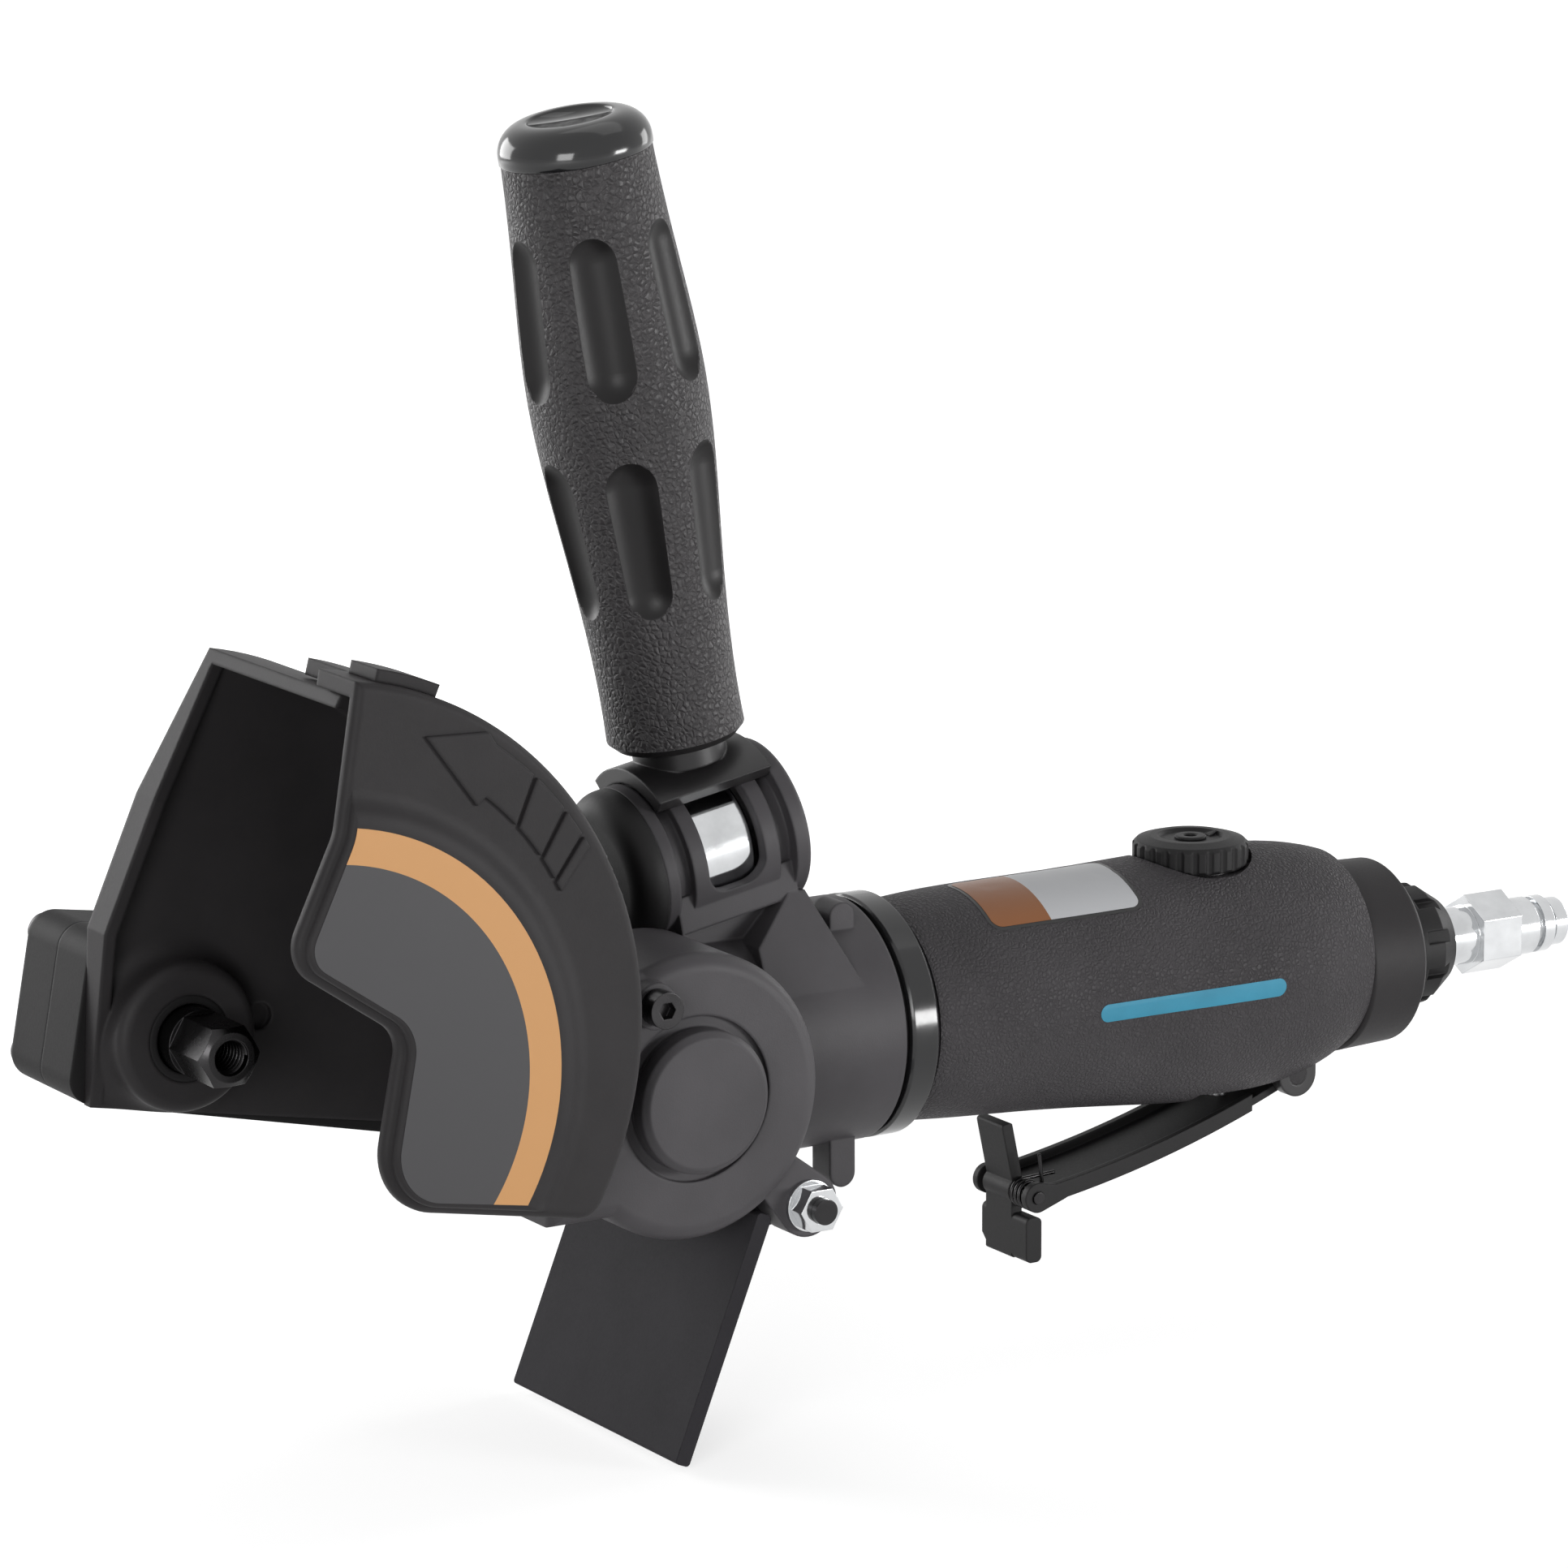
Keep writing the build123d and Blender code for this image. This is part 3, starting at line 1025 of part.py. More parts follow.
def lever_edge(rise):
    """Lower edge of the lever in its side view, or the same edge raised."""
    across, down = lever_run()
    heel = (0, -LEVER_HEEL + rise)
    toe = (across + LEVER_EAR, -down - LEVER_HEEL / 2 + rise)
    middle = (toe[0] / 2, (heel[1] + toe[1]) / 2 - LEVER_BELLY)
    return ThreePointArc(heel, middle, toe)


def lever_band(rise):
    """Strip of the lever's side view between its lower edge and the same edge raised."""
    low = lever_edge(0)
    high = lever_edge(rise)
    ends = [Line(low @ 0, high @ 0), Line(low @ 1, high @ 1)]
    return make_face(low.edges() + high.edges() + [ends[0].edge(), ends[1].edge()])


def throttle_lever():
    """Channel-shaped palm lever with a narrow tongue on its pin and two ears for the catch."""
    across, down = lever_run()
    wide = Pos(across, 0) * Rectangle(-2 * across - 2 * LEVER_SHOULDER, FAR)
    inside = LEVER_HALF_WIDTH - LEVER_WALL
    body = lever_slab(lever_band(LEVER_FLANGE) & wide, LEVER_HALF_WIDTH)
    body -= lever_slab(lever_band(FAR), inside) - lever_slab(lever_band(LEVER_WALL), inside)
    strip = Pos(-LEVER_SHOULDER / 2 - 2, 0) * Rectangle(LEVER_SHOULDER + 4, FAR)
    tongue = Circle(BRACKET_RADIUS - 0.6) + (lever_band(LEVER_WALL) & strip)
    body += lever_slab(tongue, LEVER_TONGUE)
    toe = lever_edge(LEVER_FLANGE / 2) @ 1
    for sign in (1, -1):
        ear = make_hull((Pos(across, -down) * Circle(LEVER_EAR)).edges()
                        + (Pos(toe.X + LEVER_EAR, toe.Y) * Circle(LEVER_FLANGE / 2 - 0.3)).edges())
        middle_y = sign * (LEVER_HALF_WIDTH - LEVER_WALL / 2)
        body += LEVER.location * Pos(0, 0, middle_y - LEVER_WALL / 2) * extrude(ear, LEVER_WALL)
    body -= LEVER.location * Cylinder(LEVER_PIN_RADIUS + RUNNING_CLEARANCE, 4 * LEVER_TONGUE)
    return body - CATCH.location * Cylinder(CATCH_PIN_RADIUS, 4 * LEVER_HALF_WIDTH)


def lever_slab(outline, half_width):
    """Plate in the lever's side view, centred on the motor axis plane."""
    return LEVER.location * Pos(0, 0, -half_width) * extrude(outline, 2 * half_width)


def lever_pin():
    """Pin through the housing's ears."""
    return LEVER.location * Cylinder(LEVER_PIN_RADIUS, 2 * BRACKET_OUTER)


def catch_pin():
    """Pin through the lever's ears."""
    return CATCH.location * Cylinder(CATCH_PIN_RADIUS, 2 * LEVER_HALF_WIDTH + 0.8)


def catch_slab(outline, front, back):
    """Plate in the catch's side view between two offsets from the motor axis plane."""
    return CATCH.location * Pos(0, 0, -back) * extrude(outline, back - front)


def safety_catch():
    """Lock-out catch: hub on its pin, arm up towards the grip and thumb pad below."""
    spring_end = -LEVER_HALF_WIDTH + LEVER_WALL + 0.4 + SPRING_TURNS * SPRING_PITCH + SPRING_WIRE
    arm = Rot(0, 0, CATCH_LEAN) * (Pos(0, CATCH_ARM / 2) * RectangleRounded(CATCH_PLATE, CATCH_ARM, 0.6))
    hub = Circle(CATCH_HUB_RADIUS)
    body = catch_slab(hub + arm, spring_end + 0.2, CATCH_HALF_WIDTH)
    neck = Pos(-0.6, -CATCH_PAD_LENGTH / 2) * RectangleRounded(CATCH_PLATE, CATCH_PAD_LENGTH, 0.6)
    body += catch_slab(hub + neck, spring_end + 0.2, CATCH_HALF_WIDTH)
    drop = 4.4
    pad = Pos(0, -(CATCH_PAD_LENGTH + drop) / 2) * RectangleRounded(3.6, CATCH_PAD_LENGTH - drop, 1.2)
    body += catch_slab(pad, -CATCH_PAD_HALF_WIDTH, CATCH_PAD_HALF_WIDTH) & catch_pad_outline()
    return body - CATCH.location * Cylinder(CATCH_PIN_RADIUS + RUNNING_CLEARANCE, 4 * LEVER_HALF_WIDTH)


def catch_pad_outline():
    """Thumb pad seen along the grip, with its lower far corner cut off."""
    half = CATCH_PAD_HALF_WIDTH
    low = -CATCH_PAD_LENGTH
    outline = polygon((-half, 0), (half, 0), (half, low + CATCH_PAD_CORNER), (half - CATCH_PAD_CORNER, low),
                      (-half, low))
    along = Plane(origin=CATCH.origin, x_dir=(0, 1, 0), z_dir=(1, 0, 0))
    return along.location * Pos(0, 0, -CATCH_PAD_LENGTH) * extrude(outline, 2 * CATCH_PAD_LENGTH)


def biarc(start, start_dir, end, end_dir):
    """Two tangent arcs between two points with given directions."""
    span = end - start
    both = start_dir + end_dir
    square = 2 * (1 - start_dir.dot(end_dir))
    reach = (-span.dot(both) + math.sqrt(span.dot(both) ** 2 + square * span.dot(span))) / square
    middle = (start + end + (start_dir - end_dir) * reach) * 0.5
    first = TangentArc(start, middle, tangent=start_dir)
    second = TangentArc(middle, end, tangent=first % 1)
    return [first, second]


def spring_point(angle, offset):
    """Point on the torsion spring's helix."""
    y = offset + SPRING_PITCH * angle / 360
    turn = math.radians(angle)
    return Vector(SPRING_RADIUS * math.cos(turn), SPRING_RADIUS * math.sin(turn), y)


def spring_direction(angle):
    """Direction of the torsion spring's helix."""
    turn = math.radians(angle)
    rise = SPRING_PITCH / (2 * math.pi)
    return Vector(-SPRING_RADIUS * math.sin(turn), SPRING_RADIUS * math.cos(turn), rise).normalized()


def catch_spring():
    """Torsion spring beside the catch's hub: one wire with two straight legs."""
    offset = LEVER_HALF_WIDTH - LEVER_WALL - 0.4 - SPRING_WIRE / 2 - SPRING_TURNS * SPRING_PITCH
    start_angle = SPRING_LEG_ANGLE
    end_angle = CATCH_LEAN + 360 * SPRING_TURNS
    pieces = math.ceil((end_angle - start_angle) / 90)
    step = (end_angle - start_angle) / pieces
    edges = []
    for index in range(pieces):
        angle = start_angle + index * step
        edges += biarc(spring_point(angle, offset), spring_direction(angle),
                       spring_point(angle + step, offset), spring_direction(angle + step))
    first = spring_point(start_angle, offset)
    last = spring_point(end_angle, offset)
    lead = Line(first - spring_direction(start_angle) * SPRING_LEG, first)
    tail = Line(last, last + spring_direction(end_angle) * SPRING_LEG)
    path = Wire([lead.edge()] + [edge.edge() for edge in edges] + [tail.edge()])
    section = Plane(origin=path @ 0, z_dir=path % 0) * Circle(SPRING_WIRE / 2)
    print("catch spring, least gap to itself:", round(least_gap(path), 3))
    return CATCH.location * sweep(section, path)


def least_gap(path):
    """Smallest free space between stretches of a wire that lie more than half a turn apart along it."""
    count = 400
    points = [path @ (index / count) for index in range(count + 1)]
    apart = math.ceil(math.pi * SPRING_RADIUS / path.length * count)
    near = [(points[low] - points[high]).length
            for low in range(count + 1) for high in range(low + apart, count + 1)]
    return min(near) - SPRING_WIRE


def valve_bushing():
    """Guide of the valve pin."""
    return tube(VALVE, VALVE_BUSH_RADIUS, VALVE_PIN_RADIUS + RUNNING_CLEARANCE, -HOUSING_RADIUS + 0.5,
                -HOUSING_RADIUS + 6)


def valve_pin():
    """Pin that the lever pushes up."""
    share = (LEVER_STATION - VALVE_STATION) / (LEVER_STATION - CATCH_STATION - LEVER_EAR)
    low = (lever_edge(LEVER_WALL + VALVE_TIP_GAP) @ share).Y - LEVER_DROP
    return rod(VALVE, VALVE_PIN_RADIUS, low, -VALVE_HEAD_UP) + rod(VALVE, VALVE_HEAD_RADIUS, -VALVE_HEAD_UP,
                                                                   -VALVE_HEAD_UP + 2)


def valve_spring():
    """Return spring of the valve pin, drawn as its outer sleeve."""
    return tube(VALVE, VALVE_HEAD_RADIUS, VALVE_HEAD_RADIUS - 0.8, -VALVE_HEAD_UP + 2, VALVE_BORE_TOP)


def handle_stud():
    """Threaded stud from the grip through the drum's window into the barrel nut."""
    return rod(HANDLE, STUD_RADIUS, -NUT_RADIUS + STUD_FLOOR, GRIP_START + STUD_REACH)


def barrel_nut():
    """Cross nut inside the drum."""
    body = rod(DRUM, NUT_RADIUS, -NUT_HALF_LENGTH, NUT_HALF_LENGTH)
    body = fillet(body.edges().filter_by(GeomType.CIRCLE), NUT_EDGE)
    return body - rod(HANDLE, STUD_RADIUS, -NUT_RADIUS + STUD_FLOOR, FAR)


def handle_saddle():
    """Curved shoe between the drum and the grip, with a round collar."""
    inner = DRUM_RADIUS + 0.1
    arch = sector(inner, inner + SADDLE_WALL, -SADDLE_WRAP, SADDLE_WRAP)
    body = DRUM.location * Pos(0, 0, -SADDLE_HALF_WIDTH) * extrude(arch, 2 * SADDLE_HALF_WIDTH)
    body += rod(HANDLE, HANDLE_COLLAR_RADIUS, inner + SADDLE_WALL / 2, GRIP_START)
    body -= rod(DRUM, inner, -FAR, FAR)
    return body - rod(HANDLE, STUD_RADIUS, 0, FAR)


def handle_grip():
    """Barrel-shaped grip with two rows of finger dimples."""
    shoulder = (GRIP_START + GRIP_BELLY) / 2
    profile = [(GRIP_FOOT_RADIUS - 1.5, GRIP_START), (GRIP_FOOT_RADIUS, GRIP_START + 1.5)]
    shoulder_radius = (GRIP_FOOT_RADIUS + GRIP_BELLY_RADIUS) / 2 - 0.3
    curve = Spline((GRIP_FOOT_RADIUS, GRIP_START + 1.5), (shoulder_radius, shoulder),
                   (GRIP_BELLY_RADIUS, GRIP_BELLY - 6), (GRIP_TOP_RADIUS + 1.2, GRIP_END - 20),
                   (GRIP_TOP_RADIUS, GRIP_END))
    runs = Polyline((GRIP_TOP_RADIUS, GRIP_END), (0, GRIP_END), (0, GRIP_START), *profile)
    face = Plane.XZ * make_face(curve.edges() + runs.edges())
    body = revolve(face, Axis.Z)
    rows = [(UPPER_DIMPLE, 16.2, 3.5), (LOWER_DIMPLE, 15.4, -3.5)]
    for height, radius, slant in rows:
        capsule = Cylinder(DIMPLE_RADIUS, DIMPLE_LENGTH)
        capsule += Pos(0, 0, DIMPLE_LENGTH / 2) * Sphere(DIMPLE_RADIUS)
        capsule += Pos(0, 0, -DIMPLE_LENGTH / 2) * Sphere(DIMPLE_RADIUS)
        spot = Pos(radius + DIMPLE_RADIUS - DIMPLE_DEPTH, 0, height) * Rot(0, -slant, 0) * capsule
        body -= [Rot(0, 0, index * 360 / DIMPLE_COLUMNS) * spot for index in range(DIMPLE_COLUMNS)]
    return HANDLE.location * body - rod(HANDLE, STUD_RADIUS, GRIP_START, GRIP_START + STUD_REACH)


def handle_end_cap():
    """Glossy cap on the end of the grip."""
    top = GRIP_END + END_CAP_HEIGHT
    return turned(HANDLE, (0, GRIP_END), (GRIP_TOP_RADIUS + 0.3, GRIP_END),
                  (GRIP_TOP_RADIUS + 0.3, GRIP_END + 2.5), (GRIP_TOP_RADIUS - 0.6, GRIP_END + 4.6),
                  (GRIP_TOP_RADIUS - 2.6, top - 1.2), (GRIP_TOP_RADIUS - 5, top - 0.4), (0, top))


def drum_end_cap():
    """Rounded cap on the open end of the drum."""
    spigot = rod(DRUM, DRUM_BORE, -DRUM_LEFT, -DRUM_LEFT + FLANGE_THICKNESS / 2)
    dome = rod(DRUM, DRUM_RADIUS, -DRUM_LEFT - DRUM_DOME, -DRUM_LEFT)
    return fillet(dome.faces().sort_by(DRUM_AXIS)[0].edges(), DRUM_DOME * 0.8) + spigot


def debris_flap():
    """Flat flap on a knuckle that turns on its bolt."""
    plate = RectangleRounded(FLAP_THICKNESS, FLAP_LENGTH, 0.8)
    plate = Pos(-FLAP_STANDOFF - FLAP_THICKNESS / 2, -FLAP_LENGTH / 2 - FLAP_TOP) * plate
    body = slab(FLAP, Rot(0, 0, -FLAP_LEAN) * plate, FLAP_FRONT, FLAP_BACK)
    foot = Pos(-FLAP_STANDOFF - FLAP_THICKNESS / 2, -FLAP_TOP - 4) * Circle(FLAP_THICKNESS / 2 - 0.1)
    knuckle = make_hull(Circle(KNUCKLE_RADIUS).edges() + foot.edges())
    front = FLAP_FRONT + EAR_THICKNESS + PART_GAP
    body += slab(FLAP, Rot(0, 0, -FLAP_LEAN) * knuckle, front, front + EAR_SPREAD - 2 * PART_GAP)
    return body - rod_y(FLAP, FLAP_BOLT_RADIUS + RUNNING_CLEARANCE, FLAP_FRONT, FLAP_BACK)


def flap_bolt():
    """Bolt through both ears, with its head behind the rear ear."""
    back = FLAP_FRONT + 2 * EAR_THICKNESS + EAR_SPREAD
    front = FLAP_FRONT - WASHER_THICKNESS - NUT_HEIGHT - 1.5
    head = slab(FLAP, RegularPolygon(NUT_FLATS / math.sqrt(3), 6), back, back + 3.5)
    return rod_y(FLAP, FLAP_BOLT_RADIUS, front, back) + head


def flap_washer():
    """Washer under the nut."""
    return tube_y(FLAP, WASHER_RADIUS, FLAP_BOLT_RADIUS, FLAP_FRONT - WASHER_THICKNESS, FLAP_FRONT)


def flap_nut():
    """Nut on the front end of the flap bolt."""
    back = FLAP_FRONT - WASHER_THICKNESS
    hexagon = slab(FLAP, RegularPolygon(NUT_FLATS / math.sqrt(3), 6), back - NUT_HEIGHT, back)
    return hexagon - rod_y(FLAP, FLAP_BOLT_RADIUS, FLAP_FRONT - 2 * NUT_HEIGHT, FLAP_FRONT)


PIECES = {
    "gear_case": gear_case,
    "gear_case_cap": gear_case_cap,
    "guard_screw": guard_screw,
    "case_screws": case_screws,
    "arm_housing": arm_housing,
    "arm_cover": arm_cover,
    "arm_screws": arm_screws,
    "spindle_bearings": lambda: bearings(SPINDLE, (FRONT_BEARING, REAR_BEARING), BEARING_RADIUS,
                                         SPINDLE_RADIUS),
    "gear_bearings": lambda: bearings(GEAR, (GEAR_BEARING, FRONT_BEARING, REAR_BEARING), BEARING_RADIUS,
                                      SPINDLE_RADIUS),
    "spindle": spindle,
    "hex_adaptor": hex_adaptor,
    "driven_pulley": lambda: pulley(SPINDLE),
    "drive_pulley": lambda: pulley(GEAR),
    "drive_belt": drive_belt,
    "gear_shaft": gear_shaft,
    "bevel_gear": bevel_gear,
    "bevel_pinion": bevel_pinion,
    "guard_shell": guard_shell,
    "guard_cover": guard_cover,
    "guard_latch": guard_latch,
    "neck_ring": neck_ring,
    "motor_housing": motor_housing,
    "grip_sleeve": grip_sleeve,
    "motor_cylinder": motor_cylinder,
    "front_end_plate": lambda: end_plate(MOTOR_START, MOTOR_START),
    "rear_end_plate": lambda: end_plate(MOTOR_END - END_PLATE, MOTOR_END - BEARING_WIDTH),
    "rotor_bearings": rotor_bearings,
    "rotor": rotor,
    "vanes": vanes,
    "exhaust_ring": exhaust_ring,
    "inlet_bushing": inlet_bushing,
    "air_nipple": air_nipple,
    "regulator_knob": regulator_knob,
    "regulator_stem": regulator_stem,
    "regulator_collar": regulator_collar,
    "throttle_lever": throttle_lever,
    "lever_pin": lever_pin,
    "safety_catch": safety_catch,
    "catch_pin": catch_pin,
    "catch_spring": catch_spring,
    "valve_bushing": valve_bushing,
    "valve_pin": valve_pin,
    "valve_spring": valve_spring,
    "handle_stud": handle_stud,
    "barrel_nut": barrel_nut,
    "handle_saddle": handle_saddle,
    "handle_grip": handle_grip,
    "handle_end_cap": handle_end_cap,
    "drum_end_cap": drum_end_cap,
    "debris_flap": debris_flap,
    "flap_bolt": flap_bolt,
    "flap_washer": flap_washer,
    "flap_nut": flap_nut,
}

os.makedirs("parts", exist_ok=True)
for name, make in PIECES.items():
    shape = make()
    solids = shape if isinstance(shape, list) else [shape]
    separate = [solid for group in solids for solid in group.solids()]
    export_step(Compound(children=separate), f"parts/{name}.step")
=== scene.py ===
import json
import math

import bmesh
import bpy
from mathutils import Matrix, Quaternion, Vector
from mathutils.bvhtree import BVHTree


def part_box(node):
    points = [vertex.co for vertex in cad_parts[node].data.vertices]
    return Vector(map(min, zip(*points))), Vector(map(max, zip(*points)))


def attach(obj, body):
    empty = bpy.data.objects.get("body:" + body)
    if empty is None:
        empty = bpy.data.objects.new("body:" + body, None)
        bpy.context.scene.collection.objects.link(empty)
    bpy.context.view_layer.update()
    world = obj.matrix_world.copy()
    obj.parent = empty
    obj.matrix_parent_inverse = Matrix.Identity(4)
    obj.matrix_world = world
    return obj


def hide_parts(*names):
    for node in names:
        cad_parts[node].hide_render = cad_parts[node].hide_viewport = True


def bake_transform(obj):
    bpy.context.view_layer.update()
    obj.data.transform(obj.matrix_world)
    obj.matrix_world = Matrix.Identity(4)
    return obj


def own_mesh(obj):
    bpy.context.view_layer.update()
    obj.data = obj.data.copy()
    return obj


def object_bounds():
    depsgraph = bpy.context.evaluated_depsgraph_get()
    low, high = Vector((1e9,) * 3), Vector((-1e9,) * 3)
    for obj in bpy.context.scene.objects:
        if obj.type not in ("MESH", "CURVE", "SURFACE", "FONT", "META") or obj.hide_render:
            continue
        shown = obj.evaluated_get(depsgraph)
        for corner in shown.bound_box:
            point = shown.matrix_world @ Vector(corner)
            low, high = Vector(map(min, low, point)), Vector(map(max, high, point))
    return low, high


# Looks of the air-driven multi sander. Metres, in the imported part's own frame: the spindle points along -Y,
# the motor axis runs along +X to the air inlet and +Z is up.
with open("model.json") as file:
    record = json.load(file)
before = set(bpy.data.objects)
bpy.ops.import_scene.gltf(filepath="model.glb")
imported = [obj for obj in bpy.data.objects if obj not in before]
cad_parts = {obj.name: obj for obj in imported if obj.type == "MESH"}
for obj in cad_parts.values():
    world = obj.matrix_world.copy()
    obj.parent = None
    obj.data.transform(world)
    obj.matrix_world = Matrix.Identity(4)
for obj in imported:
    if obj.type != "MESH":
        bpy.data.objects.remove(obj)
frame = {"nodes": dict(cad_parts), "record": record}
cad_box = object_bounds()
MM = 0.001
UP = Vector((0, 0, 1))

# Camera, set from the photograph's perspective. The last three are in pixels of the photograph.
CAMERA_AIM = Vector((141.3, 36.1, 24.6)) * MM
CAMERA_AZIMUTH = math.radians(-31.65)
CAMERA_ELEVATION = math.radians(12.41)
CAMERA_ROLL = math.radians(-0.21)
CAMERA_DISTANCE = 1413.2 * MM
CAMERA_LENS = 166.4
SENSOR_WIDTH = 36.0
CAMERA_CLIP = (0.05, 50.0)
FRAME_PIXELS = 1932
AXIS_RIGHT_OF_CENTRE = 6.0
AXIS_BELOW_CENTRE = 19.2

# Floor and surroundings. The floor's glow is what the camera sees of it, near the part and far away.
FLOOR_REACH = 6.0
FLOOR_GAP = 1 * MM
FLOOR_TONES = (0.78, 0.81)
FLOOR_PATCH = 40 * MM
FLOOR_ROUGHNESS = 0.9
FLOOR_GLOW = (0.68, 1.0)
FLOOR_GLOW_REACH = (0.15, 0.70)
WORLD_FILL = 0.06

# Lamps: place about the part's middle, width and height in metres, and watts
LAMPS = {
    "key": ((-0.97, -0.86, 0.20), 0.5, 0.5, 6.5),
    "front": ((0.78, -0.98, 0.02), 0.45, 0.24, 7.8),
    "top": ((0.30, 0.10, 1.20), 1.2, 0.6, 1.5),
    "rim": ((1.25, 0.15, 0.20), 0.4, 0.6, 3.0),
    "back": ((-0.50, 1.15, 0.25), 0.8, 0.6, 7.5),
}

# Moulded and coated finishes: colour, roughness, grain size, grain height, edge round and specular level
MOULDED = {
    "dark_casting": ((0.058, 0.0545, 0.059), 0.52, 0.30 * MM, 0.022 * MM, 0.8 * MM, 0.3),
    "guard_plastic": ((0.025, 0.0232, 0.0244), 0.54, 0.45 * MM, 0.016 * MM, 0.9 * MM, 0.18),
    "arm_plastic": ((0.016, 0.0155, 0.016), 0.54, 0.5 * MM, 0.016 * MM, 0.8 * MM, 0.1),
    "gloss_black": ((0.012, 0.012, 0.013), 0.12, 3.0 * MM, 0.002 * MM, 0.4 * MM, 0.5),
    "black_paint": ((0.020, 0.019, 0.020), 0.36, 0.5 * MM, 0.006 * MM, 0.6 * MM, 0.35),
    "control_plastic": ((0.012, 0.0115, 0.012), 0.52, 0.5 * MM, 0.008 * MM, 0.5 * MM, 0.2),
    "flap_rubber": ((0.026, 0.0245, 0.028), 0.7, 0.6 * MM, 0.01 * MM, 0.3 * MM, 0.14),
    "belt_rubber": ((0.03, 0.03, 0.03), 0.7, 0.6 * MM, 0.02 * MM, 0.35 * MM, 0.2),
    "vane_resin": ((0.22, 0.13, 0.07), 0.5, 0.6 * MM, 0.01 * MM, 0.35 * MM, 0.35),
    # Smooth face of the finger dimples: the smooth face is real, its darker colour is painted shade in the
    # dimples
    "smooth_grip": ((0.015, 0.014, 0.0145), 0.40, 0.6 * MM, 0.005 * MM, 0.5 * MM, 0.22),
    "sticker_rim": ((0.018, 0.018, 0.018), 0.3, 1.0 * MM, 0.002 * MM, 0.35 * MM, 0.35),
    "stripe_paint": ((0.045, 0.28, 0.42), 0.42, 0.75 * MM, 0.02 * MM, 0.35 * MM, 0.25),
}

# Leather-like finishes: colour, roughness, cell size, cell height, share of that in the pores, specular level
GRAINED = {
    "sleeve_rubber": ((0.057, 0.0535, 0.057), 0.50, 0.9 * MM, 0.16 * MM, 0.3, 0.16),
    "grip_plastic": ((0.044, 0.041, 0.043), 0.44, 1.2 * MM, 0.24 * MM, 0.25, 0.34),
}

# Metals: colour, roughness and height of the machining marks
METALS = {
    "chrome": ((0.62, 0.63, 0.64), 0.09, 0.004 * MM),
    "steel": ((0.36, 0.36, 0.365), 0.26, 0.01 * MM),
    "black_oxide": ((0.035, 0.034, 0.035), 0.26, 0.008 * MM),
    "alloy": ((0.55, 0.56, 0.58), 0.32, 0.012 * MM),
}

# Printed films: ground colour, second colour and roughness
LABEL_PRINT = ((0.042, 0.041, 0.044), (0.64, 0.33, 0.125), 0.42)
STICKER_PRINT = ((0.62, 0.63, 0.65), (0.28, 0.095, 0.02), 0.3)

# Nodes that wear another finish than their slot's: blackened pins, spring and bolt, painted saddle and motor
# housing, and the rings at the inlet and the exhaust
FINISHES = {
    "catch_pin": "black_oxide",
    "catch_spring": "black_oxide",
    "lever_pin": "black_oxide",
    "flap_bolt": "black_oxide",
    "handle_saddle": "black_paint",
    "motor_housing": "black_paint",
    "inlet_bushing": "control_plastic",
    "exhaust_ring": "guard_plastic",
}

# Patterns in the finishes: sizes of their patches, the part of a noise's range that is used, the darkest and
# lightest share of a colour, and what is added to the roughness at either end
MOULDED_PATCH = 18 * MM
GRAINED_PATCH = 25 * MM
METAL_PATCH = 6 * MM
MARK_SIZE = 0.35 * MM
PRINT_GRAIN = 0.8 * MM
PRINT_HEIGHT = 0.002 * MM
PRINT_SPECULAR = 0.4
NOISE_RANGE = (0.3, 0.7)
MOULDED_SHADES = (0.86, 1.14)
GRAINED_SHADES = (0.85, 1.15)
METAL_SHADES = (0.9, 1.06)
MOULDED_GLOSS = (-0.07, 0.09)
GRAINED_GLOSS = (0.14, -0.03)
METAL_GLOSS = (-0.05, 0.08)
PRINT_GLOSS = (-0.05, 0.08)
LEAST_ROUGHNESS = 0.03
CELL_EDGE = 0.28
CELL_WARP_SIZE = 0.7
CELL_WARP_REACH = 0.8
PORE_SIZE = 0.35
METAL_EDGE = 0.25 * MM
EDGE_SAMPLES = 6

# Sockets of a mix node when it mixes colours
MIX_FIRST = 6
MIX_SECOND = 7
MIX_RESULT = 2

# Places on the tool
ARM_TILT = math.radians(10.5)
GUARD_CENTRE = (-2.5 * MM, 5.5 * MM)
COVER_FACE = -33.0 * MM
MOTOR_AXIS = Vector((87.805, 21.5, -16.274)) * MM
GRIP_RADIUS = 23 * MM
HANDLE_ROOT = Vector((111.105, 21.5, 22.526)) * MM
HANDLE_LEAN = math.radians(10.4)
HANDLE_AXIS = Vector((-math.sin(HANDLE_LEAN), 0, math.cos(HANDLE_LEAN)))

# Finger dimples of the side handle, told from its round profile by their depth
PROFILE_STEP = 2 * MM
DIMPLE_DEPTHS = (0.35 * MM, 4 * MM)

# Rolled end cap of the side handle, as radii and heights over the handle's root
CAP_BASE = 136.3 * MM
CAP_RADIUS = 14.6 * MM
CAP_CHAMFER = 0.3 * MM
CAP_SIDE = 1.6 * MM
CAP_ROLL = 5.6 * MM
DISH_RADIUS = 8.6 * MM
DISH_LIP = 0.5 * MM

# Raised socket ring and pointer on the regulator knob, as distances from the knob's axis
KNOB_AXIS = Vector((226.505, 21.5, 0)) * MM
HUB_RADII = (1.3 * MM, 3.2 * MM)
HUB_RISE = 0.7 * MM
POINTER_NEAR = 4.2 * MM
POINTER_FAR = 6.6 * MM
POINTER_HALF_WIDTH = 1.1 * MM
POINTER_EDGE = 0.12 * MM

